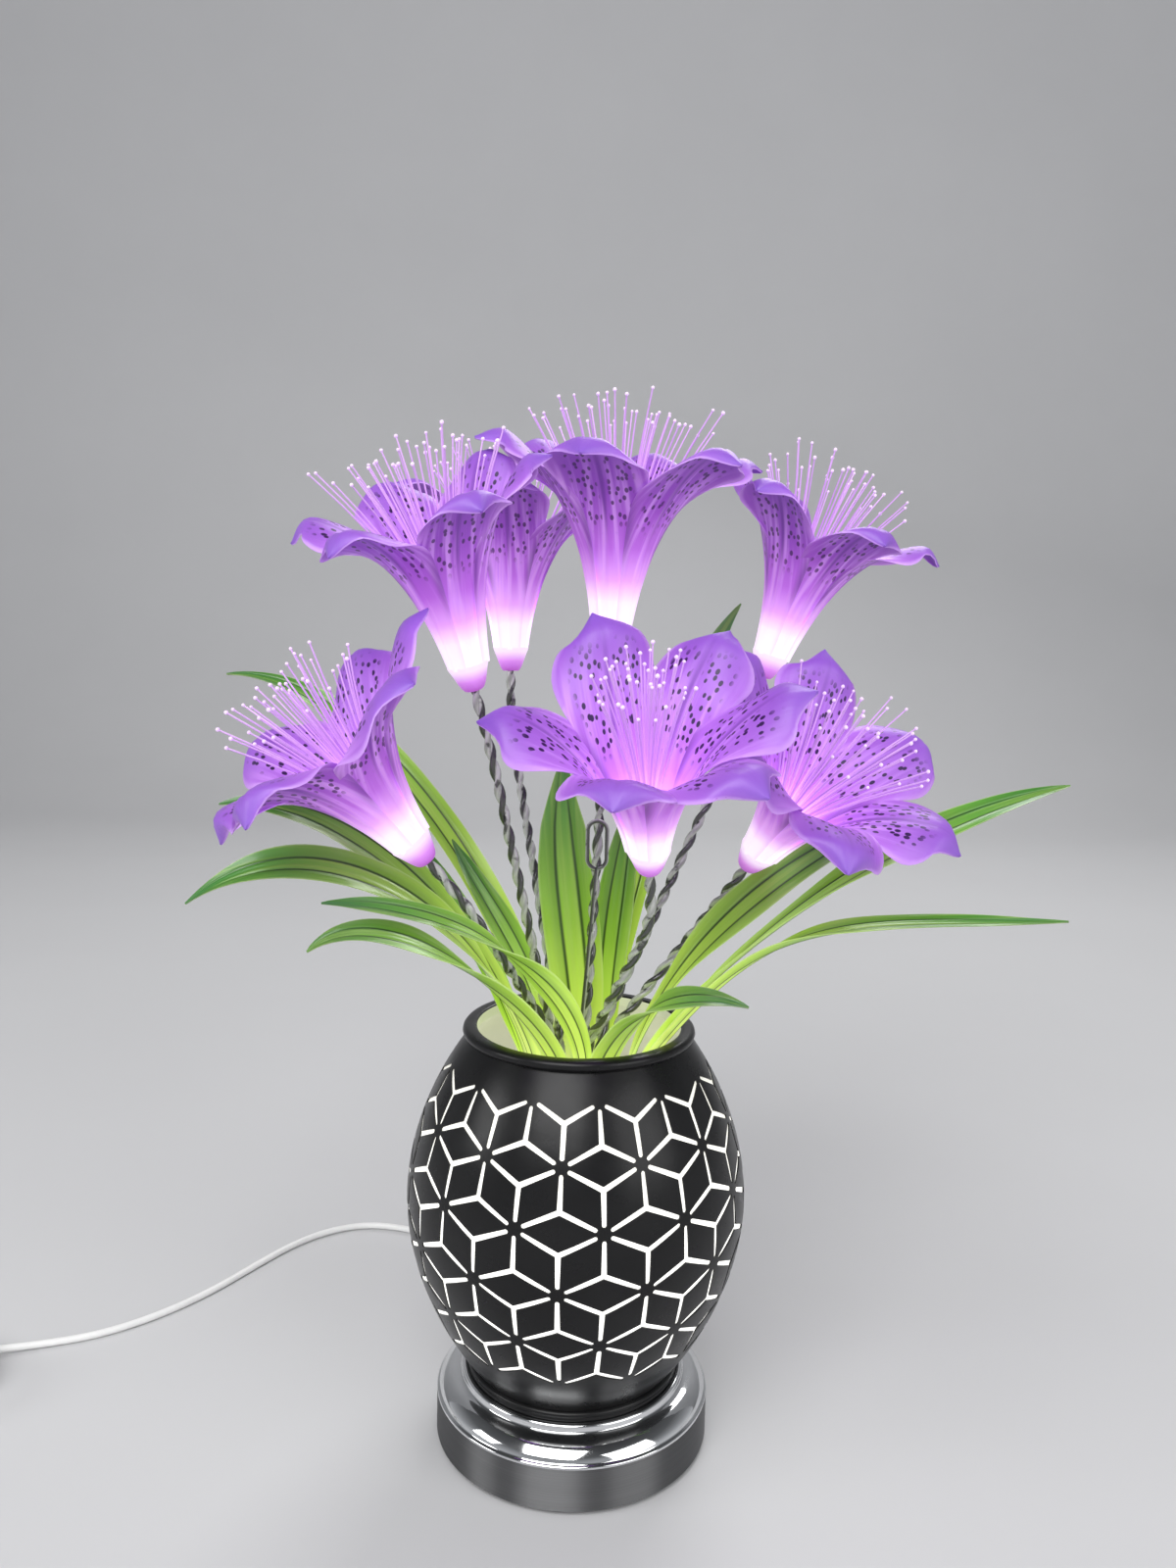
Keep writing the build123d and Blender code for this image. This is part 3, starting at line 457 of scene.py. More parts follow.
def petal_finish():
    """Translucent foam petal: painted glow in the throat, pink, then violet, with streaks, painted shade at
    folds and overlaps, and freckles.
    """
    foam = Finish("petal_foam", 0.42)
    along, edge, inner = [foam.reading(label) for label in ("along", "edge", "inner")]
    flat = foam.flat_place()
    # The pale start of both ramps is partly the throat's own colour and partly painted glow of the bulb
    outside = foam.ramp(along, (
        (0.0, (0.48, 0.34, 0.54)), (0.2, (0.54, 0.24, 0.66)), (0.36, (0.38, 0.11, 0.60)),
        (0.55, (0.25, 0.055, 0.49)), (0.72, (0.23, 0.052, 0.47)), (1.0, (0.27, 0.10, 0.54)),
    ))
    inside = foam.ramp(along, (
        (0.0, (0.80, 0.62, 0.88)), (0.28, (0.68, 0.36, 0.86)), (0.5, (0.46, 0.18, 0.70)),
        (0.8, (0.31, 0.11, 0.58)), (1.0, (0.25, 0.11, 0.58)),
    ))
    colour = foam.tint(inner, outside, inside)
    streaks = foam.effect(streak_effect, {"Vector": flat, "Across": 0.42, "Along": 0.022})["Mask"]
    streaks = foam.times(streaks, foam.span(along, 0.12, 0.3, 0.5, 0.85), 0.55)
    colour = foam.tint(streaks, colour, (0.62, 0.32, 0.84))
    # Lighter edges in the flared part: partly the petal's own paler rim, partly a painted highlight
    rim = foam.effect(edge_effect, {"Edge": edge, "Width": 0.12})["Mask"]
    rim = foam.times(rim, foam.fade(along, 0.5, 0.68), 0.6)
    colour = foam.tint(rim, colour, (0.66, 0.42, 0.88))
    # Painted shade: a dark band where petals overlap in the tube, and along the mid-rib crease
    overlap_shade = foam.times(foam.fade(edge, 0.62, 0.98), foam.span(along, 0.24, 0.42, 0.44, 0.62), 0.6)
    fold = foam.times(foam.fade(edge, 0.09, 0.01), foam.span(along, 0.36, 0.56, 0.65, 0.95), 0.5)
    dark = foam.calc("MAXIMUM", overlap_shade, fold)
    colour = foam.tint(dark, colour, (0.10, 0.014, 0.27))

    across, length, seed = foam.place("SeparateXYZ", {0: flat})
    spot_place = {0: foam.calc("ADD", across, seed), 1: foam.times(length, 0.62)}
    spot_place = foam.place("CombineXYZ", spot_place)[0]
    cells = foam.place("TexVoronoi", {"Vector": spot_place, "Scale": 0.42}, voronoi_dimensions="2D")
    chosen, size = foam.place("SeparateColor", {0: cells["Color"]})[:2]
    spot = foam.calc("ADD", cells["Distance"], foam.times(size, 0.1))
    spot = foam.times(
        foam.fade(spot, 0.35, 0.27),
        foam.calc("GREATER_THAN", chosen, 0.14),
        foam.span(along, 0.42, 0.5, 0.76, 0.86),
        foam.span(edge, 0.08, 0.16, 0.6, 0.76),
        foam.between(inner, 0.8, 1.0),
    )
    colour = foam.tint(spot, colour, (0.03, 0.004, 0.075))

    # Painted glow: the bulb's light on the petals, white in the throat and fading along them
    glow = foam.ramp(along, (
        (0.0, (0.86, 0.79, 0.86)), (0.14, (0.86, 0.76, 0.87)), (0.25, (0.52, 0.26, 0.58)),
        (0.38, (0.24, 0.070, 0.32)), (0.6, (0.085, 0.020, 0.13)), (0.8, (0.03, 0.006, 0.05)),
        (1.0, (0.015, 0.003, 0.03)),
    ))
    glow = foam.tint(foam.times(foam.fade(edge, 0.6, 1.0), 0.22), glow, (0.30, 0.10, 0.36))
    glow = foam.tint(foam.times(streaks, 0.5), glow, (0.50, 0.30, 0.58))
    glow = foam.tint(foam.calc("MAXIMUM", spot, dark), glow, BLACK)
    foam.give({
        "Base Color": colour,
        "Emission Color": glow,
        "Emission Strength": 1.0,
        "Subsurface Weight": 0.08,
        "Subsurface Radius": (0.004, 0.002, 0.005),
    })
    foam.bump(foam.noise(foam.stretched(flat, (1.2, 0.12, 1.0)), 1.0), 0.25, 0.0004)
    return foam.material


def lit_finish(name, roughness, body, glow, strength, shade, shade_share, shade_scale):
    """Part of a lily lit from its throat: colours and painted glow of the bulb along it, with a slow random
    change of tone.
    """
    skin = Finish(name, roughness)
    along = skin.reading("along")
    cloud = skin.times(skin.noise(skin.object_place(), shade_scale), shade_share)
    skin.give({
        "Base Color": skin.tint(cloud, skin.ramp(along, body), shade),
        "Emission Color": skin.ramp(along, glow),
        "Emission Strength": strength,
    })
    return skin.material


def leaf_finish():
    """Moulded strap leaf: painted shade at its creases, pale edges, and a yellow foot brightened by painted
    lamp light.
    """
    blade = Finish("leaf_plastic", 0.3)
    along = blade.reading("along")
    edge = blade.reading("edge")
    # The yellow foot is brightened by painted light of the lamp in the vase; the tips are darker green
    body = blade.ramp(along, (
        (0.0, (0.66, 0.76, 0.17)), (0.28, (0.47, 0.68, 0.085)), (0.55, (0.28, 0.54, 0.055)),
        (0.8, (0.11, 0.33, 0.045)), (1.0, (0.035, 0.17, 0.035)),
    ))
    streaks = {"Vector": blade.flat_place(), "Across": 0.5, "Along": 0.012}
    streaks = blade.effect(streak_effect, streaks)["Mask"]
    body = blade.tint(blade.times(streaks, 0.35), body, (0.40, 0.58, 0.11))
    # Painted shade: a darker band beside each crease, and dark lines in the creases
    crease_side_shade = blade.span(edge, 0.33, 0.40, 0.46, 0.86)
    body = blade.tint(blade.times(crease_side_shade, 0.5), body, (0.06, 0.20, 0.02))
    crease_gap = blade.calc("ABSOLUTE", blade.calc("SUBTRACT", edge, LEAF_CREASE))
    crease = blade.times(blade.fade(crease_gap, 0.1, 0.01), blade.fade(along, 0.98, 0.8))
    body = blade.tint(blade.times(crease, 0.85), body, (0.012, 0.05, 0.008))
    rim = blade.effect(edge_effect, {"Edge": edge, "Width": 0.1})["Mask"]
    body = blade.tint(blade.times(rim, 0.55), body, (0.55, 0.70, 0.30))
    # Painted glow of the lamp in the vase on the leaf's foot, fading along it
    glow = blade.ramp(along, (
        (0.0, (0.60, 0.68, 0.26)), (0.2, (0.28, 0.38, 0.05)), (0.5, (0.08, 0.14, 0.012)), (0.9, BLACK),
    ))
    blade.give({
        "Base Color": body,
        "Emission Color": blade.tint(crease, glow, BLACK),
        "Emission Strength": 1.0,
        "Coat Weight": 0.25,
        "Coat Roughness": 0.2,
    })
    blade.bump(streaks, 0.3, 0.0003)
    return blade.material


def coat_finish():
    """Satin black enamel with a slight orange peel."""
    enamel = Finish("black_enamel", 0.3)
    place_in = enamel.object_place()
    shade = enamel.noise(place_in, 35.0)
    enamel.give({
        "Base Color": enamel.tint(shade, (0.003, 0.003, 0.0035), (0.009, 0.009, 0.0095)),
        "Roughness": enamel.between(enamel.noise(place_in, 120.0), 0.22, 0.36),
        "Specular IOR Level": 0.28,
    })
    enamel.bump(enamel.noise(place_in, 420.0), 0.06, 0.0004)
    return enamel.material


def opal_finish():
    """Opal glass with painted glow of the lamp below it: bright outside, darker towards the top, and dim on
    its inner face.
    """
    glass = Finish("lit_opal_glass", 0.25)
    place_in = glass.object_place()
    height = glass.place("SeparateXYZ", {0: place_in})[2]
    cloud = glass.noise(place_in, 60.0)
    glow = glass.ramp(glass.between(height, 0.0, 1.0, 0.03, 0.17), (
        (0.0, (1.0, 1.0, 0.97)), (0.55, (1.0, 0.99, 0.93)), (0.8, (0.62, 0.61, 0.53)),
        (0.92, (0.24, 0.235, 0.20)), (1.0, (0.10, 0.098, 0.08)),
    ))
    glow = glass.tint(glass.times(cloud, 0.2), glow, (0.8, 0.78, 0.66))
    facing = glass.place("TexCoord")["Normal"]
    across = glass.place("VectorMath", {0: place_in, 1: (1.0, 1.0, 0.0)}, operation="MULTIPLY")[0]
    outwards = glass.place("VectorMath", {0: across, 1: facing}, operation="DOT_PRODUCT")["Value"]
    outside = glass.calc("GREATER_THAN", outwards, 0.0)
    glass.give({
        "Base Color": glass.tint(cloud, (0.74, 0.73, 0.69), (0.82, 0.81, 0.78)),
        "Emission Color": glass.tint(outside, (0.16, 0.157, 0.13), glow),
        "Emission Strength": 1.1,
    })
    return glass.material


def chrome_finish():
    """Polished chrome with faint wipe marks."""
    chrome = Finish("polished_chrome", 0.06, 1.0)
    wipe = chrome.noise(chrome.stretched(chrome.object_place(), (60.0, 60.0, 400.0)), 1.0, 5.0)
    chrome.give({
        "Base Color": chrome.tint(wipe, (0.66, 0.67, 0.68), (0.82, 0.83, 0.84)),
        "Roughness": chrome.between(wipe, 0.04, 0.13, 0.35, 0.75),
    })
    return chrome.material


def brushed_finish():
    """Band brushed round its axis."""
    band = Finish("brushed_band", 0.44, 1.0)
    lines = band.noise(band.stretched(band.object_place(), (12.0, 12.0, 9000.0)), 1.0, 2.0)
    # The dark base colours paint a dark reflection, darker than the steel's own tone
    band.give({
        "Base Color": band.tint(lines, (0.13, 0.131, 0.134), (0.28, 0.282, 0.286)),
        "Roughness": band.between(lines, 0.46, 0.56),
        "Anisotropic": 1.0,
        "Anisotropic Rotation": 0.25,
        "Tangent": band.place("Tangent", direction_type="RADIAL", axis="Z")[0],
    })
    band.bump(lines, 0.12, 0.00005)
    return band.material


def wire_finish():
    """Dark wire under clear lacquer, with a broken pale thread along each strand that is partly a painted
    highlight.
    """
    wire = Finish("lacquered_wire", 0.12)
    place_in = wire.object_place()
    body = wire.tint(wire.noise(place_in, 300.0), (0.012, 0.013, 0.012), (0.08, 0.085, 0.075))
    broken = wire.fade(wire.noise(place_in, 190.0), 0.34, 0.46)
    # The pale thread is partly a painted spiral highlight of the twist
    thread = wire.times(wire.fade(wire.reading("thread"), 0.40, 0.76), broken)
    wire.give({
        "Base Color": wire.tint(thread, body, (0.60, 0.62, 0.57)),
        "Coat Weight": 1.0,
        "Coat Roughness": 0.04,
    })
    wire.bump(wire.noise(place_in, 900.0), 0.12, 0.0002)
    return wire.material


def cord_finish():
    """White vinyl lead with a faint drag of dust."""
    vinyl = Finish("white_vinyl", 0.34)
    place_in = vinyl.object_place()
    dust = vinyl.noise(place_in, 90.0, 5.0)
    vinyl.give({
        "Base Color": vinyl.tint(dust, (0.80, 0.80, 0.79), (0.92, 0.92, 0.91)),
        "Roughness": vinyl.between(dust, 0.26, 0.46),
    })
    vinyl.bump(vinyl.noise(place_in, 1500.0), 0.05, 0.0002)
    return vinyl.material


def paper_finish():
    """Pale matt paper of the stage."""
    paper = Finish("pale_paper", 0.85)
    cloud = paper.noise(paper.object_place(), 3.0)
    paper.give({
        "Base Color": paper.tint(cloud, (0.60, 0.60, 0.61), (0.64, 0.64, 0.65)),
        "Specular IOR Level": 0.2,
    })
    return paper.material


petal_foam = petal_finish()
# Calyx and filaments carry painted glow of the bulb in the throat
calyx_foam = lit_finish(
    "calyx_foam", 0.4,
    body=((0.0, (0.42, 0.10, 0.56)), (0.5, (0.56, 0.24, 0.70)), (1.0, (0.50, 0.36, 0.56))),
    glow=((0.0, (0.22, 0.04, 0.26)), (0.45, (0.40, 0.14, 0.46)), (0.9, (0.74, 0.62, 0.76))),
    strength=1.0, shade=(0.4, 0.1, 0.6), shade_share=0.25, shade_scale=260.0,
)
filament_fibre = lit_finish(
    "filament_fibre", 0.3,
    body=(
        (0.0, (0.95, 0.80, 1.0)), (0.6, (0.64, 0.36, 0.78)),
        (0.9, (0.72, 0.46, 0.84)), (1.0, (0.90, 0.74, 0.95)),
    ),
    glow=(
        (0.0, (0.9, 0.8, 0.9)), (0.4, (0.34, 0.16, 0.40)),
        (0.9, (0.10, 0.04, 0.13)), (1.0, (0.20, 0.14, 0.22)),
    ),
    strength=0.8, shade=(0.6, 0.35, 0.8), shade_share=0.3, shade_scale=700.0,
)
leaf_plastic = leaf_finish()
black_enamel = coat_finish()
opal_glass = opal_finish()
polished_chrome = chrome_finish()
brushed_band = brushed_finish()
lacquered_wire = wire_finish()
white_vinyl = cord_finish()


# Mesh helpers
class Form:
    """Points, faces and per-point readings of one piece, gathered shape by shape."""

    def __init__(self):
        self.points = []
        self.faces = []
        self.readings = {}
        self.count = 0

    def add(self, points, faces, **readings):
        self.points.append(np.asarray(points, float))
        self.faces += [[corner + self.count for corner in face] for face in faces]
        for label, values in readings.items():
            self.readings.setdefault(label, []).append(np.asarray(values, float))
        self.count += len(points)


def add_piece(name, form, body, material, nodes=(), sharp=50.0):
    """Turn a form into an object that rides a body and stands for the nodes named."""
    mesh = bpy.data.meshes.new(name)
    mesh.from_pydata(np.concatenate(form.points) * MM, [], form.faces)
    for label, parts in form.readings.items():
        values = np.concatenate(parts).astype(np.float32)
        kind, field = ("FLOAT", "value") if values.ndim == 1 else ("FLOAT_VECTOR", "vector")
        mesh.attributes.new(label, kind, "POINT").data.foreach_set(field, values.ravel())
    work = bmesh.new()
    work.from_mesh(mesh)
    bmesh.ops.recalc_face_normals(work, faces=work.faces)
    work.to_mesh(mesh)
    work.free()
    mesh.shade_smooth()
    mesh.set_sharp_from_angle(angle=math.radians(sharp))
    mesh.materials.append(material)
    piece = bpy.data.objects.new(name, mesh)
    scene.collection.objects.link(piece)
    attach(piece, body)
    if nodes:
        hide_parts(*nodes)
    return piece


def through(values, where):
    """Smooth curve through evenly spaced values, read at shares from 0 to 1."""
    values = np.asarray(values, float)
    last = len(values) - 1
    at = np.clip(np.asarray(where) * last, 0, last - 1e-9)
    step = at.astype(int)
    t = (at - step).reshape(-1, *[1] * (values.ndim - 1))
    before, first = values[np.maximum(step - 1, 0)], values[step]
    second, after = values[step + 1], values[np.minimum(step + 2, last)]
    bend = 2 * before - 5 * first + 4 * second - after
    turn = -before + 3 * first - 3 * second + after
    return 0.5 * (2 * first + (second - before) * t + bend * t**2 + turn * t**3)


def ease(value, low, high):
    """Smooth step from 0 at low to 1 at high."""
    t = np.clip((value - low) / (high - low), 0, 1)
    return t * t * (3 - 2 * t)


def unit(vectors):
    return vectors / np.linalg.norm(vectors, axis=-1, keepdims=True)


def running(steps):
    """Running total of steps, from 0."""
    return np.concatenate([[0], np.cumsum(steps)])


def lengths_along(points):
    return running(np.linalg.norm(np.diff(points, axis=0), axis=1))


def round_angles(count):
    return np.linspace(0, FULL_TURN, count, endpoint=False)


def grid_faces(rows, columns, round_rows=False, round_columns=False):
    """Four-cornered faces of a grid of points, closed into a ring where asked."""
    faces = []
    for row in range(rows if round_rows else rows - 1):
        here, above = row * columns, (row + 1) % rows * columns
        for column in range(columns if round_columns else columns - 1):
            beside = (column + 1) % columns
            faces.append([here + column, here + beside, above + beside, above + column])
    return faces


def closed_sheet(front, back):
    """Points and faces of a thin closed sheet between two grids of points."""
    rows, columns = front.shape[:2]
    size = rows * columns
    faces = grid_faces(rows, columns)
    faces += [[corner + size for corner in reversed(face)] for face in faces]
    top = size - columns
    rim = [*range(columns - 1), *range(columns - 1, size - 1, columns)]
    rim += [*range(size - 1, top, -1), *range(top, 0, -columns)]
    for here, there in zip(rim, rim[1:] + rim[:1]):
        faces.append([there, here, here + size, there + size])
    return np.concatenate([front.reshape(-1, 3), back.reshape(-1, 3)]), faces


def add_sheet(form, front, back, middle, halves, seed, **readings):
    """Thin closed sheet with its shares along and across, and its place when unrolled."""
    rows, columns = front.shape[:2]
    across = np.linspace(-1, 1, columns)
    lengths = lengths_along(middle)
    flat = np.stack(np.broadcast_arrays(across * halves[:, None], lengths[:, None], seed), -1)
    points, faces = closed_sheet(front, back)
    form.add(
        points, faces,
        along=np.tile(np.repeat(np.linspace(0, 1, rows), columns), 2),
        edge=np.tile(np.abs(across), 2 * rows),
        flat=np.tile(flat.reshape(-1, 3), (2, 1)),
        **readings,
    )


def path_frames(points):
    """Two sideways directions at each point of a line, which do not spin along it."""
    ways = unit(np.gradient(points, axis=0))
    start = np.array((1.0, 0.0, 0.0)) if abs(ways[0][0]) < 0.8 else np.array((0.0, 1.0, 0.0))
    side = start - ways[0] * start.dot(ways[0])
    sides = []
    for way in ways:
        side = side - way * side.dot(way)
        side = side / np.linalg.norm(side)
        sides.append(side)
    sides = np.array(sides)
    return sides, np.cross(ways, sides)


def tube(points, radii, sides_count):
    """Closed tube along a line of points, with flat ends."""
    first, second = path_frames(points)
    angles = round_angles(sides_count)[:, None]
    ring = first[:, None] * np.cos(angles) + second[:, None] * np.sin(angles)
    rings = points[:, None] + ring * np.broadcast_to(radii, len(points))[:, None, None]
    faces = grid_faces(len(points), sides_count, round_columns=True)
    faces.append(list(range(sides_count))[::-1])
    faces.append([(len(points) - 1) * sides_count + column for column in range(sides_count)])
    return rings.reshape(-1, 3), faces


def lathe(profile, segments, closed=True):
    """Surface turned about Z from a list of radius and height."""
    profile = np.asarray(profile, float)
    radii, heights = profile[:, :1], profile[:, 1:]
    angles = round_angles(segments)
    rings = np.broadcast_arrays(radii * np.cos(angles), radii * np.sin(angles), heights)
    return np.stack(rings, -1).reshape(-1, 3), grid_faces(len(profile), segments, closed, True)


def ball(middle, radius, around=8, up=5):
    """Small bead."""
    levels = np.linspace(-math.pi / 2, math.pi / 2, up + 2)[1:-1, None]
    angles = round_angles(around)
    x, y = np.cos(angles) * np.cos(levels), np.sin(angles) * np.cos(levels)
    rings = np.stack(np.broadcast_arrays(x, y, np.sin(levels)), -1)
    points = np.concatenate([rings.reshape(-1, 3), [(0, 0, -1), (0, 0, 1)]])
    faces = grid_faces(up, around, round_columns=True)
    foot, top, last = up * around, up * around + 1, (up - 1) * around
    for column in range(around):
        beside = (column + 1) % around
        faces.append([foot, beside, column])
        faces.append([top, last + column, last + beside])
    return points * radius + np.asarray(middle), faces


# Cord: one smooth line from the strain relief through the coil to the plug
def coil_place(turn):
    """Point and direction of the coil's middle line after a number of turns."""
    layer = min(int(turn / COIL_TURNS_PER_LAYER), COIL_LAYERS - 1)
    along = turn - layer * COIL_TURNS_PER_LAYER
    outer = COIL_INNER_RADIUS + COIL_TURNS_PER_LAYER * COIL_PITCH
    radius = outer - along * COIL_PITCH if layer % 2 == 0 else COIL_INNER_RADIUS + along * COIL_PITCH
    nearest = min(max(round(turn / COIL_TURNS_PER_LAYER), 1), COIL_LAYERS - 1)
    climb = min(max((turn - nearest * COIL_TURNS_PER_LAYER) * 2 + 0.5, 0), 1)
    height = COIL_START_HEIGHT + COIL_PITCH * (nearest - 1 + climb**2 * (3 - 2 * climb))
    angle = math.radians(COIL_BEARING) + FULL_TURN * turn
    out = Vector((math.cos(angle), math.sin(angle), 0))
    rate = -COIL_PITCH if layer % 2 == 0 else COIL_PITCH
    way = Vector((-math.sin(angle), math.cos(angle), 0)) * (FULL_TURN * radius) + out * rate
    return Vector((*COIL_MIDDLE, height)) + out * radius, way.normalized()


relief_angle = math.radians(RELIEF_BEARING)
relief_way = Vector((math.cos(relief_angle), math.sin(relief_angle), 0))
relief_tip = relief_way * RELIEF_REACH + Vector((0, 0, RELIEF_HEIGHT))
coil_entry, coil_entry_way = coil_place(0)
coil_exit, coil_exit_way = coil_place(COIL_TURNS)
cord_line = [relief_tip, relief_tip + relief_way * CORD_LEAD, *map(Vector, CORD_POINTS)]
cord_line.append(coil_entry - coil_entry_way * (CORD_DIAMETER + CORD_LEAD))
coil_steps = round(COIL_TURNS * COIL_POINTS_PER_TURN)
cord_line += [coil_place(COIL_TURNS * step / coil_steps)[0] for step in range(coil_steps + 1)]
tail_point = coil_exit + coil_exit_way * CORD_DIAMETER
tail_drop = tail_point.z - PLUG_HALF_HEIGHT
cord_line.append(tail_point)
for run, share in zip(TAIL_RUNS, TAIL_DROP_SHARES):
    tail_point = tail_point + coil_exit_way * run - Vector((0, 0, tail_drop * share))
    cord_line.append(tail_point)

cord_curve = bpy.data.curves.new("power_cord", "CURVE")
cord_curve.dimensions = "3D"
cord_curve.bevel_depth = CORD_DIAMETER / 2 * MM
cord_curve.bevel_resolution = 4
cord_curve.resolution_u = 5
cord_curve.use_fill_caps = True
cord_spline = cord_curve.splines.new("NURBS")
cord_spline.points.add(len(cord_line) - 1)
for point, place_on in zip(cord_spline.points, cord_line):
    point.co = (*(place_on * MM), 1.0)
cord_spline.order_u = 3
cord_spline.use_endpoint_u = True
cord_curve.materials.append(white_vinyl)
power_cord = bpy.data.objects.new("power_cord", cord_curve)
scene.collection.objects.link(power_cord)
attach(power_cord, "base")
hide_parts("cord", "cord_coil", "cord_tail")


# Lilies
def lily_frame(neck, lean, bearing):
    """A lily's own directions, the last along its trumpet, and its neck in the lamp's frame."""
    a, b = math.radians(lean), math.radians(bearing)
    lean_way = (math.cos(a) * math.cos(b), math.cos(a) * math.sin(b), -math.sin(a))
    side_way = (-math.sin(b), math.cos(b), 0)
    axis = (math.sin(a) * math.cos(b), math.sin(a) * math.sin(b), math.cos(a))
    return np.array((lean_way, side_way, axis)), np.array((neck[0], neck[1], HUB_TOP + neck[2]))


def bent_line(radii, levels, bend):
    """A petal's middle line as radius and level, turned outwards more and more towards its tip."""
    along = np.linspace(0, 1, len(radii))
    runs, rises = np.diff(radii), np.diff(levels)
    angles = np.arctan2(runs, rises) + math.radians(bend) * ease((along[1:] + along[:-1]) / 2, 0.36, 1.0)
    lengths = np.hypot(runs, rises)
    return radii[0] + running(lengths * np.sin(angles)), levels[0] + running(lengths * np.cos(angles))


def turned(grid, angles):
    """Grid of points turned about Z, each row by its own angle."""
    cosines, sines = np.cos(angles)[:, None], np.sin(angles)[:, None]
    x, y, z = np.moveaxis(grid, -1, 0)
    return np.stack([x * cosines - y * sines, x * sines + y * cosines, z], -1)


def add_petal(form, height, spread, angle, inside, pose, chance):
    """One petal as a thin closed sheet with a rib, waved edges and a pointed tip."""
    bend, swing, size_share = pose
    along = np.linspace(0, 1, PETAL_ROWS)
    across = np.linspace(-1, 1, PETAL_COLUMNS)
    zeros = np.zeros(PETAL_ROWS)
    flare = ease(along, 0.35, 0.9)
    radii = through(PETAL_RADII, along)
    reach = PETAL_RADII[0] + (radii - PETAL_RADII[0]) * spread
    widths = np.maximum(through(PETAL_HALF_WIDTHS, along), PETAL_LEAST_HALF_WIDTH) * reach / radii
    if inside:
        reach = reach - PETAL_INSET * (1 - flare)
        widths = widths * (1 + 0.05 * flare)
    else:
        reach = reach + PETAL_OFFSET * (1 - flare)
    reach = reach * (1 + (chance.uniform(*PETAL_REACH_CHANGES) + size_share - 1) * flare)
    levels = CALYX_HEIGHT + through(PETAL_LEVELS, along) * height
    levels = levels + chance.uniform(*PETAL_LEVEL_CHANGES) * flare
    levels = levels - chance.uniform(*PETAL_TIP_DROPS) * ease(along, 0.86, 1.0)
    reach, levels = bent_line(reach, levels, bend)
    middle = np.stack([reach, zeros, levels], -1)
    ways = unit(np.gradient(middle, axis=0))
    normals = np.stack([-ways[:, 2], zeros, ways[:, 0]], -1)[:, None]

    sag = widths**2 * ways[:, 2] / (2 * reach)
    lift = (sag * (1 - ease(along, 0.5, 0.8)))[:, None] * across**2
    rib = PETAL_RIB_DEPTH * np.exp(-((across / PETAL_RIB_WIDTH) ** 2))
    lift = lift - rib * (1 - ease(along, 0.8, 1.0))[:, None]
    lift = lift - (PETAL_DROOP * widths * ease(along, 0.5, 0.85))[:, None] * across**2
    wave = ease(along, 0.45, 0.75) * (1 - ease(along, 0.92, 1.0))
    wave = wave * chance.uniform(*PETAL_WAVE_HEIGHTS)
    phase = chance.uniform(0, FULL_TURN)
    ripple = np.sin(FULL_TURN * PETAL_WAVES * along[:, None] + phase + np.sign(across) * PETAL_WAVE_LAG)
    lift = lift + wave[:, None] * np.abs(across) ** 3 * ripple
    lean = math.radians(chance.uniform(*PETAL_LEANS)) * flare
    sideways = across * widths[:, None] * np.cos(lean)[:, None]
    lift = lift + across * widths[:, None] * np.sin(lean)[:, None]

    outer = middle[:, None] + np.array((0, 1, 0)) * sideways[..., None] + normals * lift[..., None]
    thick = PETAL_THICKNESS * (0.35 + 0.65 * (1 - np.abs(across) ** 3))
    inner = outer + normals * thick[None, :, None]
    angles = angle + swing * flare
    seed = chance.uniform(*PATTERN_SEEDS)
    inner_side = np.repeat((0.0, 1.0), PETAL_ROWS * PETAL_COLUMNS)
    add_sheet(form, turned(outer, angles), turned(inner, angles), middle, widths, seed, inner=inner_side)


def petal_form(height, spread, spin, own_ways, poses, chance):
    """Six petals; those on the low side hang and those on the high side stand up."""
    form = Form()
    for number in range(PETAL_COUNT):
        angle = math.radians(spin + 360 / PETAL_COUNT * number)
        fall = -(math.cos(angle) * own_ways[0][2] + math.sin(angle) * own_ways[1][2])
        bend, turn, reach = poses[number]
        pose = (bend + WEIGHT_BEND * fall, math.radians(turn), reach)
        add_petal(form, height, spread, angle, number % 2 == 1, pose, chance)
    return form


def calyx_form():
    """Rounded closed end that the stem enters."""
    form = Form()
    profile = through(CALYX_PROFILE, np.linspace(0, 1, CALYX_STEPS))
    points, faces = lathe(profile, CALYX_SEGMENTS, closed=False)
    form.add(points, faces, along=np.clip(points[:, 2] / CALYX_HEIGHT, 0, 1))
    return form


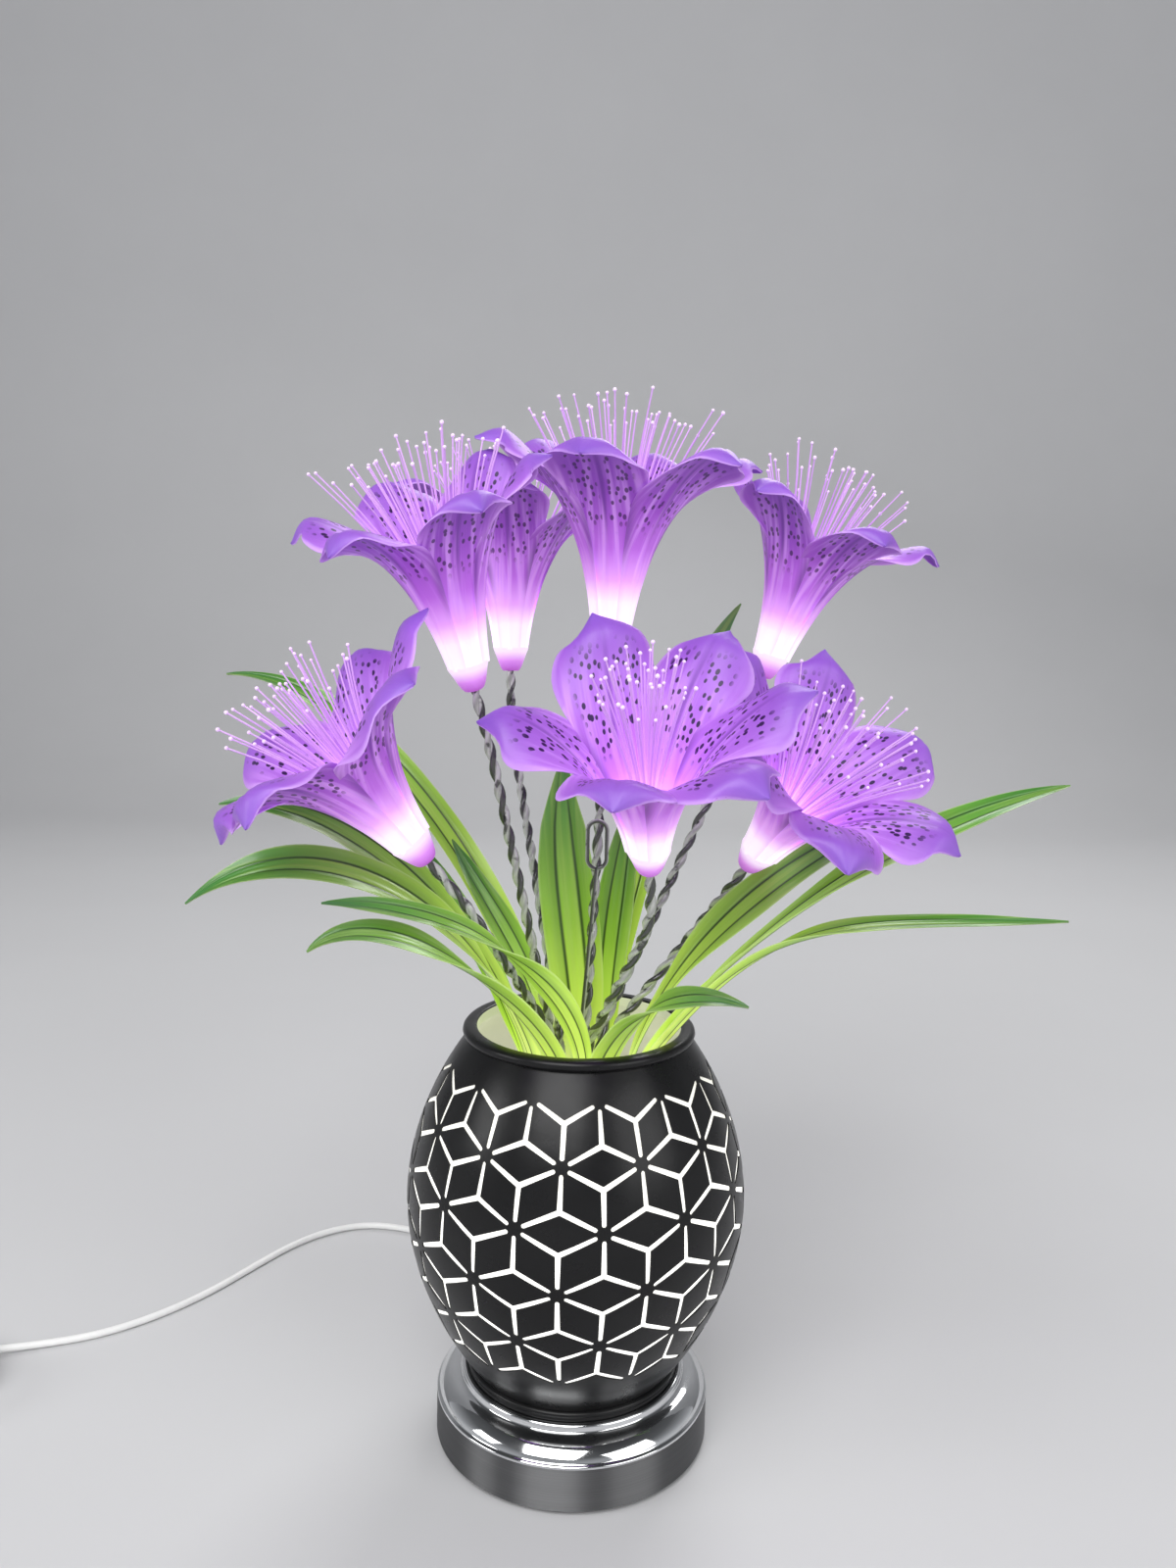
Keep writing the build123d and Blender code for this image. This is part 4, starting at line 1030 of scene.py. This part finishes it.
def filaments_form(height, spread, chance):
    """Bulb in the throat with its tuft of filaments and their beads."""
    form = Form()
    profile = [(BULB_RADIUS, BULB_FOOT)]
    for a in np.linspace(0, BULB_DOME_ANGLE, BULB_DOME_STEPS):
        profile.append((BULB_RADIUS * math.cos(a), BULB_TOP + BULB_RADIUS * math.sin(a)))
    points, faces = lathe(profile, BULB_SEGMENTS, closed=False)
    form.add(points, faces, along=np.zeros(len(points)))
    mouth = CALYX_HEIGHT + height
    along = np.linspace(0, 1, FILAMENT_POINTS)
    for count, tilt, rise in FILAMENT_RINGS:
        for number in range(count):
            turn = FULL_TURN * (number + chance.uniform(*FILAMENT_TURN_CHANGES)) / count + tilt
            lean = math.radians(tilt + chance.uniform(*FILAMENT_TILT_CHANGES)) * spread
            top = mouth + rise + chance.uniform(*FILAMENT_RISE_CHANGES)
            length = (top - BULB_TOP) / math.cos(lean)
            out = length * math.sin(lean) * (0.75 * along + 0.25 * along**2.5)
            up = BULB_TOP + length * math.cos(lean) * along
            drift = chance.uniform(*FILAMENT_DRIFTS) * along**2
            x = out * math.cos(turn) - drift * math.sin(turn)
            y = out * math.sin(turn) + drift * math.cos(turn)
            line = np.stack([x, y, up], -1)
            points, faces = tube(line, FILAMENT_FOOT_RADIUS - FILAMENT_TAPER * along, FILAMENT_SIDES)
            form.add(points, faces, along=np.repeat(along * FILAMENT_SHARE, FILAMENT_SIDES))
            points, faces = ball(line[-1], chance.uniform(*BEAD_RADII))
            form.add(points, faces, along=np.ones(len(points)))
    return form


def set_in_place(form, turn, origin):
    form.points = [points @ turn + origin for points in form.points]
    return form


def bent_path(corners, share=0.45, step=1.6):
    """Points along straight runs with rounded corners, and their lengths along the path."""
    corners = np.asarray(corners, float)
    line = [corners[0]]
    for before, corner, after in zip(corners, corners[1:], corners[2:]):
        room = share * min(np.linalg.norm(corner - before), np.linalg.norm(after - corner))
        start = corner + unit(before - corner) * room
        end = corner + unit(after - corner) * room
        for t in np.linspace(0, 1, 16):
            line.append(start * (1 - t) ** 2 + corner * 2 * t * (1 - t) + end * t**2)
    line.append(corners[-1])
    line = np.array(line)
    reach = lengths_along(line)
    marks = np.linspace(0, reach[-1], max(int(reach[-1] / step), 8))
    return np.stack([np.interp(marks, reach, line[:, axis]) for axis in range(3)], -1), marks


def twisted_stem(corners):
    """Two lacquered wires twisted together."""
    form = Form()
    line, marks = bent_path(corners)
    first, second = path_frames(line)
    for strand, (level, change) in enumerate(STRAND_PALENESS):
        angle = (FULL_TURN * marks / STRAND_PITCH + math.pi * strand)[:, None]
        offset = (first * np.cos(angle) + second * np.sin(angle)) * STRAND_RADIUS * STRAND_OFFSET
        points, faces = tube(line + offset, STRAND_RADIUS, WIRE_SIDES)
        # Pale side of each strand, partly a painted highlight, turning with the twist
        pale = level + change * np.cos(round_angles(WIRE_SIDES) - angle - THREAD_HIGHLIGHT_BEARING)
        form.add(points, faces, thread=pale.ravel())
    return form


chance = random.Random(7)
for name, (neck, lean, bearing, spin, shape, foot) in LILIES.items():
    number = name[-1]
    turn, origin = lily_frame(neck, lean, bearing)
    share, spread = LILY_FORMS[shape]
    height = TRUMPET_HEIGHT * share
    poses = PETAL_POSES.get(name, (AS_DRAWN,) * PETAL_COUNT)
    petals = set_in_place(petal_form(height, spread, spin, turn, poses, chance), turn, origin)
    add_piece(
        f"lily_{number}_petals", petals, name, petal_foam, [f"{name}_petals"], PETAL_SHARP,
    )
    calyx = set_in_place(calyx_form(), turn, origin)
    add_piece(f"lily_{number}_calyx", calyx, name, calyx_foam, [f"{name}_calyx"])
    tuft = set_in_place(filaments_form(height, FILAMENT_SPREADS.get(name, 1.0), chance), turn, origin)
    add_piece(f"lily_{number}_filaments", tuft, name, filament_fibre, [f"{name}_lamp"])
    foot_angle = math.radians(foot[1])
    stem_foot = np.array((foot[0] * math.cos(foot_angle), foot[0] * math.sin(foot_angle), HUB_TOP))
    stem = twisted_stem((
        stem_foot,
        stem_foot + (0, 0, STEM_RISE),
        origin - turn[2] * STEM_LEAD,
        origin + turn[2] * STEM_END,
    ))
    add_piece(f"twisted_stem_{number}", stem, "bouquet", lacquered_wire, [f"stem_{number}"])


# Support wire with its long eye
eye_x, eye_y, eye_z = HOOK_EYE_MIDDLE[0], HOOK_EYE_MIDDLE[1], HUB_TOP + HOOK_EYE_MIDDLE[2]
eye_half = HOOK_EYE_WIDTH / 2 - HOOK_WIRE / 2
eye_straight = HOOK_EYE_LENGTH / 2 - HOOK_EYE_WIDTH / 2
eye_line = [
    (HOOK_FOOT[0], HOOK_FOOT[1], HUB_TOP),
    (eye_x + HOOK_NECK[0], eye_y, eye_z - HOOK_EYE_LENGTH / 2 + HOOK_NECK[1]),
]
for first, last, count, shift, end in HOOK_EYE_ARCS:
    for angle in np.radians(np.linspace(first, last, count)):
        height = eye_z + end * eye_straight + eye_half * math.sin(angle)
        eye_line.append((eye_x + eye_half * math.cos(angle), eye_y + shift, height))
hook = Form()
hook_points, hook_faces = tube(np.array(eye_line), HOOK_WIRE / 2, WIRE_SIDES)
# Pale side of the hook wire, partly a painted highlight
hook_pale = HOOK_PALENESS[0] + HOOK_PALENESS[1] * np.cos(round_angles(WIRE_SIDES) - THREAD_HIGHLIGHT_BEARING)
hook.add(hook_points, hook_faces, thread=np.tile(hook_pale, len(eye_line)))
add_piece("support_wire", hook, "bouquet", lacquered_wire, ["support_hook"])


# Leaves
def add_leaf(form, points, width, facing, chance):
    """One strap leaf as a thin closed sheet with a fold, two creases and waved edges."""
    along = np.linspace(0, 1, LEAF_ROWS)
    across = np.linspace(-1, 1, LEAF_COLUMNS)
    p0, p1, p2, p3 = (np.array(point, float) + (0, 0, HUB_TOP) for point in points)
    t = along[:, None]
    middle = p0 * (1 - t) ** 3 + p1 * 3 * t * (1 - t) ** 2 + p2 * 3 * t**2 * (1 - t) + p3 * t**3
    ways = unit(np.gradient(middle, axis=0))
    inwards = unit(np.array((-points[0][0], -points[0][1], 0.0)))
    look = inwards * (1 - t) + np.array(facing, float) * t
    sides = unit(np.cross(ways, look))
    upwards = -np.cross(ways, sides)[:, None]
    fullness = np.interp(along, LEAF_STATIONS, LEAF_FULLNESS)
    soft = np.convolve(np.pad(fullness, 3, mode="edge"), np.ones(7) / 7, "valid")
    halves = np.maximum(LEAF_FOOT_WIDTH - LEAF_FOOT_TAPER * along, width * soft) / 2
    halves = np.minimum(halves, 0.3 + (1 - along) * 40)
    lift = LEAF_FOLD * halves[:, None] * np.abs(across) ** 1.2
    crease = np.exp(-(((np.abs(across) - LEAF_CREASE) / LEAF_CREASE_WIDTH) ** 2))
    lift = lift - LEAF_CREASE_DEPTH * crease * np.minimum(halves / 6, 1)[:, None]
    phase = chance.uniform(*LEAF_WAVE_PHASES)
    ripple = np.sin(FULL_TURN * LEAF_WAVES * t + phase + np.sign(across) * LEAF_WAVE_LAG)
    lift = lift + LEAF_WAVE_SHARE * halves[:, None] * np.abs(across) ** 3 * ripple
    sideways = across * halves[:, None]
    front = middle[:, None] + sides[:, None] * sideways[..., None] + upwards * lift[..., None]
    thick = LEAF_THICKNESS * (0.4 + 0.6 * (1 - np.abs(across) ** 4))
    back = front - upwards * thick[None, :, None]
    add_sheet(form, front, back, middle, halves, chance.uniform(*PATTERN_SEEDS))


chance = random.Random(11)
for name, leaf_shapes in LEAVES.items():
    leaf = Form()
    for points, width, facing in leaf_shapes:
        add_leaf(leaf, points, width, facing, chance)
    strap_name = name.replace("leaf", "strap_leaf")
    add_piece(strap_name, leaf, "bouquet", leaf_plastic, [name], LEAF_SHARP)


# Vase: black coat with its stars cut through to the lit glass
def outer_line(node, low, high, count):
    """Heights and outer radii of a turned node, and the length along its side."""
    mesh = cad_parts[node].data
    tree = BVHTree.FromPolygons([v.co for v in mesh.vertices], [p.vertices for p in mesh.polygons])
    way = Vector((math.cos(PROBE_BEARING), math.sin(PROBE_BEARING), 0))
    heights = np.linspace(low, high, count)
    radii = []
    for height in heights:
        hit = tree.ray_cast(way * (PROBE_START * MM) + Vector((0, 0, height * MM)), -way)[0]
        radii.append(math.hypot(hit.x, hit.y) / MM)
    radii = np.array(radii)
    return heights, radii, running(np.hypot(np.diff(heights), np.diff(radii)))


side_heights, side_radii, side_lengths = outer_line(
    "vase_coat", VASE_FOOT_TOP + PROBE_MARGIN, VASE_LIP_FOOT - PROBE_MARGIN, PROBE_COUNT,
)
coat_length = side_lengths[-1]
node_step = FULL_TURN / NODES_ROUND


def star_outline(bearing, length, arms):
    """Outline of one lit star: three arms that narrow to rounded ends, as bearings and lengths."""
    radius = np.interp(length, side_lengths, side_radii)
    vectors = sorted(((turn * radius, rise) for turn, rise in arms), key=lambda v: math.atan2(v[1], v[0]))
    outline = []
    # The tip's outline is lengths back from its end and shares of its half width
    for index, (x, y) in enumerate(vectors):
        far = math.hypot(x, y) * STAR_REACH
        way = np.array((x, y)) / math.hypot(x, y)
        side = np.array((-way[1], way[0])) * STAR_TIP_HALF_WIDTH
        outline += [way * (far - back) + side * share for back, share in STAR_TIP_OUTLINE]
        between = unit(way + unit(np.array(vectors[(index + 1) % 3])))
        half_angle = math.acos(max(-1.0, min(1.0, float(way @ between))))
        outline.append(between * STAR_HALF_WIDTH / math.sin(half_angle))
    return [(bearing + x / radius, length + y) for x, y in outline]


stars = []
half, third = node_step / 2, NODE_ROW_STEP / 3
upright_arms = ((-half, -third), (half, -third), (0, 2 * third))
hanging_arms = ((-half, third), (half, third), (0, -2 * third))
for row in range(NODE_ROWS - 1):
    low = NODE_ROW_STEP * (row + 1)
    first = math.radians(FIRST_NODE_BEARING) + (row % 2) * node_step / 2
    for column in range(-NODES_ROUND // 2 - 1, NODES_ROUND // 2 + 3):
        bearing = first + column * node_step
        stars.append(star_outline(bearing + half, low + third, upright_arms))
        stars.append(star_outline(bearing, low + 2 * third, hanging_arms))

# The coat is cut flat, as bearing and length along its side, and then rolled up
flat_points = []
for rise in np.linspace(0, coat_length, COAT_ROWS):
    for bearing in np.linspace(-math.pi, math.pi, COAT_COLUMNS + 1):
        flat_points.append(Vector((bearing * UNROLLED_RADIUS, rise)))
corners = [0, COAT_COLUMNS, COAT_ROWS * (COAT_COLUMNS + 1) - 1, (COAT_ROWS - 1) * (COAT_COLUMNS + 1)]
flat_edges = list(zip(corners, corners[1:] + corners[:1]))
star_faces = []
for outline in stars:
    first = len(flat_points)
    flat_points += [Vector((bearing * UNROLLED_RADIUS, length)) for bearing, length in outline]
    star_faces.append(list(range(first, len(flat_points))))
cut = delaunay_2d_cdt(flat_points, flat_edges, star_faces, 0, CUT_TOLERANCE)
cut_points, cut_faces, face_sources = np.array([tuple(point) for point in cut[0]]), cut[2], cut[5]
kept_faces = []
for face, sources in zip(cut_faces, face_sources):
    middle = cut_points[list(face)].mean(axis=0)
    if not sources and abs(middle[0]) < math.pi * UNROLLED_RADIUS and 0 < middle[1] < coat_length:
        kept_faces.append(list(face))


def rolled(outwards, upwards, bearings):
    """Points or directions round the vase, from their outward and upward measures."""
    return np.stack([outwards * np.sin(bearings), -outwards * np.cos(bearings), upwards], -1)


bearings = cut_points[:, 0] / UNROLLED_RADIUS
side_ways = unit(np.gradient(np.stack([side_radii, side_heights], -1), axis=0))
coat_radii, coat_heights, facing_out, facing_down = [
    np.interp(cut_points[:, 1], side_lengths, values)
    for values in (side_radii, side_heights, side_ways[:, 1], side_ways[:, 0])
]
coat_points = rolled(coat_radii, coat_heights, bearings)
coat_normals = rolled(facing_out, -facing_down, bearings)

# Points that meet at the seam become one
renumber, first_seen = {}, {}
for corner in sorted({corner for face in kept_faces for corner in face}):
    spot = tuple(np.round(coat_points[corner], 2))
    renumber[corner] = first_seen.setdefault(spot, (len(first_seen), corner))[0]
kept_corners = [corner for _, corner in first_seen.values()]
outer_faces = [[renumber[corner] for corner in face] for face in kept_faces]
outer_faces = [face for face in outer_faces if len(set(face)) == len(face)]
coat_count = len(kept_corners)
edge_uses = {}
for face in outer_faces:
    for here, there in zip(face, face[1:] + face[:1]):
        edge_uses.setdefault((min(here, there), max(here, there)), []).append((here, there))
wall_faces = [
    [there, here, here + coat_count, there + coat_count]
    for uses in edge_uses.values() if len(uses) == 1 for here, there in uses
]
inner_faces = [[corner + coat_count for corner in reversed(face)] for face in outer_faces]
coat_points, coat_normals = coat_points[kept_corners], coat_normals[kept_corners]
coat = Form()
coat.add(
    np.concatenate([coat_points, coat_points - coat_normals * COAT_THICKNESS]),
    outer_faces + inner_faces + wall_faces,
)
vase_shell = add_piece("vase_shell", coat, "vase", black_enamel, ["vase_coat"], sharp=30.0)
loop_normals = []
for polygon in vase_shell.data.polygons:
    for corner in polygon.vertices:
        if polygon.index < len(outer_faces):
            loop_normals.append(tuple(coat_normals[corner]))
        elif polygon.index < 2 * len(outer_faces):
            loop_normals.append(tuple(-coat_normals[corner - coat_count]))
        else:
            loop_normals.append(tuple(polygon.normal))
vase_shell.data.normals_split_custom_set(loop_normals)

lip = Form()
lip.add(*lathe(LIP_PROFILE, VASE_SEGMENTS))
add_piece("vase_lip", lip, "vase", black_enamel, sharp=60.0)
foot_ring = Form()
foot_ring.add(*lathe(FOOT_PROFILE, VASE_SEGMENTS))
add_piece("vase_foot", foot_ring, "vase", black_enamel, sharp=60.0)


# Base cover, turned finely for clean reflections
cover = Form()
cover_slope = map(tuple, through(COVER_SLOPE, np.linspace(0, 1, COVER_SLOPE_STEPS)))
cover.add(*lathe([*COVER_COLLAR, *cover_slope, *COVER_RIM], COVER_SEGMENTS))
add_piece("chrome_cover", cover, "base", polished_chrome, ["base_cover"], sharp=40.0)


# Finishes of the pieces that keep their solids
screw_steel = moulded_finish(
    "screw_steel", (0.55, 0.55, 0.56), 0.3, grain_scale=1400.0, depth=0.1, spread=0.12, metallic=1.0,
)
plug_plating = moulded_finish(
    "plug_plating", (0.72, 0.72, 0.73), 0.25, grain_scale=1600.0, depth=0.05, spread=0.08, metallic=1.0,
)
node_finishes = {
    "base_drum": brushed_band,
    "bottom_plate": moulded_finish("black_plate_paint", (0.03, 0.03, 0.032), 0.45),
    "rubber_feet": moulded_finish("foot_rubber", (0.025, 0.025, 0.025), 0.75, grain_scale=600.0, depth=0.3),
    "plate_screws": screw_steel,
    "touch_board": moulded_finish("board_lacquer", (0.03, 0.16, 0.07), 0.4, grain_scale=500.0),
    "light_ring": moulded_finish("diode_board", (0.85, 0.85, 0.80), 0.45),
    "post_socket": moulded_finish("socket_plastic", (0.05, 0.05, 0.052), 0.5),
    "strain_relief": white_vinyl,
    "coil_tie": moulded_finish("tie_plastic", (0.06, 0.06, 0.062), 0.5),
    "plug_grip": white_vinyl,
    "plug_shell": plug_plating,
    "vase_glass": opal_glass,
    "centre_post": moulded_finish("post_paint", (0.06, 0.06, 0.062), 0.4),
    "stem_hub": moulded_finish("hub_plastic", (0.06, 0.13, 0.04), 0.6),
}
for name, finish in node_finishes.items():
    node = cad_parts[name]
    node.data.materials.clear()
    node.data.materials.append(finish)


# Stage: a pale floor that sweeps up into the backdrop, and soft lamps
sweep_line = [(SWEEP_FRONT, 0.0), (SWEEP_BEND, 0.0)]
for a in np.linspace(0, math.pi / 2, 16):
    sweep_line.append((SWEEP_BEND + SWEEP_RADIUS * math.sin(a), SWEEP_RADIUS - SWEEP_RADIUS * math.cos(a)))
sweep_line.append((SWEEP_BEND + SWEEP_RADIUS, SWEEP_TOP))
sweep_sides = (-SWEEP_HALF_WIDTH, SWEEP_HALF_WIDTH)
sweep_points = [(x, y, z - SWEEP_DROP) for y, z in sweep_line for x in sweep_sides]
sweep_faces = [(2 * i, 2 * i + 1, 2 * i + 3, 2 * i + 2) for i in range(len(sweep_line) - 1)]
sweep_mesh = bpy.data.meshes.new("paper_sweep")
sweep_mesh.from_pydata(sweep_points, [], sweep_faces)
sweep_mesh.shade_smooth()
sweep_mesh.materials.append(paper_finish())
paper_sweep = bpy.data.objects.new("paper_sweep", sweep_mesh)
scene.collection.objects.link(paper_sweep)

for name, (place_at, aim, size, power) in LAMPS.items():
    lamp = bpy.data.lights.new(name, "AREA")
    lamp.size = size
    lamp.energy = power
    lamp_object = bpy.data.objects.new(name, lamp)
    lamp_object.location = place_at
    way = Vector(aim) - Vector(place_at)
    lamp_object.rotation_euler = way.to_track_quat("-Z", "Y").to_euler()
    scene.collection.objects.link(lamp_object)

world = bpy.data.worlds.new("soft_room")
world.use_nodes = True
room = Nodes(world.node_tree)
room_rise = room.place("SeparateXYZ", {0: room.place("TexCoord")["Generated"]})[2]
room_light = room.ramp(room_rise, (
    (0.0, (0.64, 0.65, 0.67)), (0.25, (0.40, 0.41, 0.43)),
    (0.6, (0.12, 0.124, 0.13)), (1.0, (0.04, 0.041, 0.044)),
))
room.fill(room.tree.nodes["Background"].inputs, {"Color": room_light, "Strength": ROOM_STRENGTH})
scene.world = world
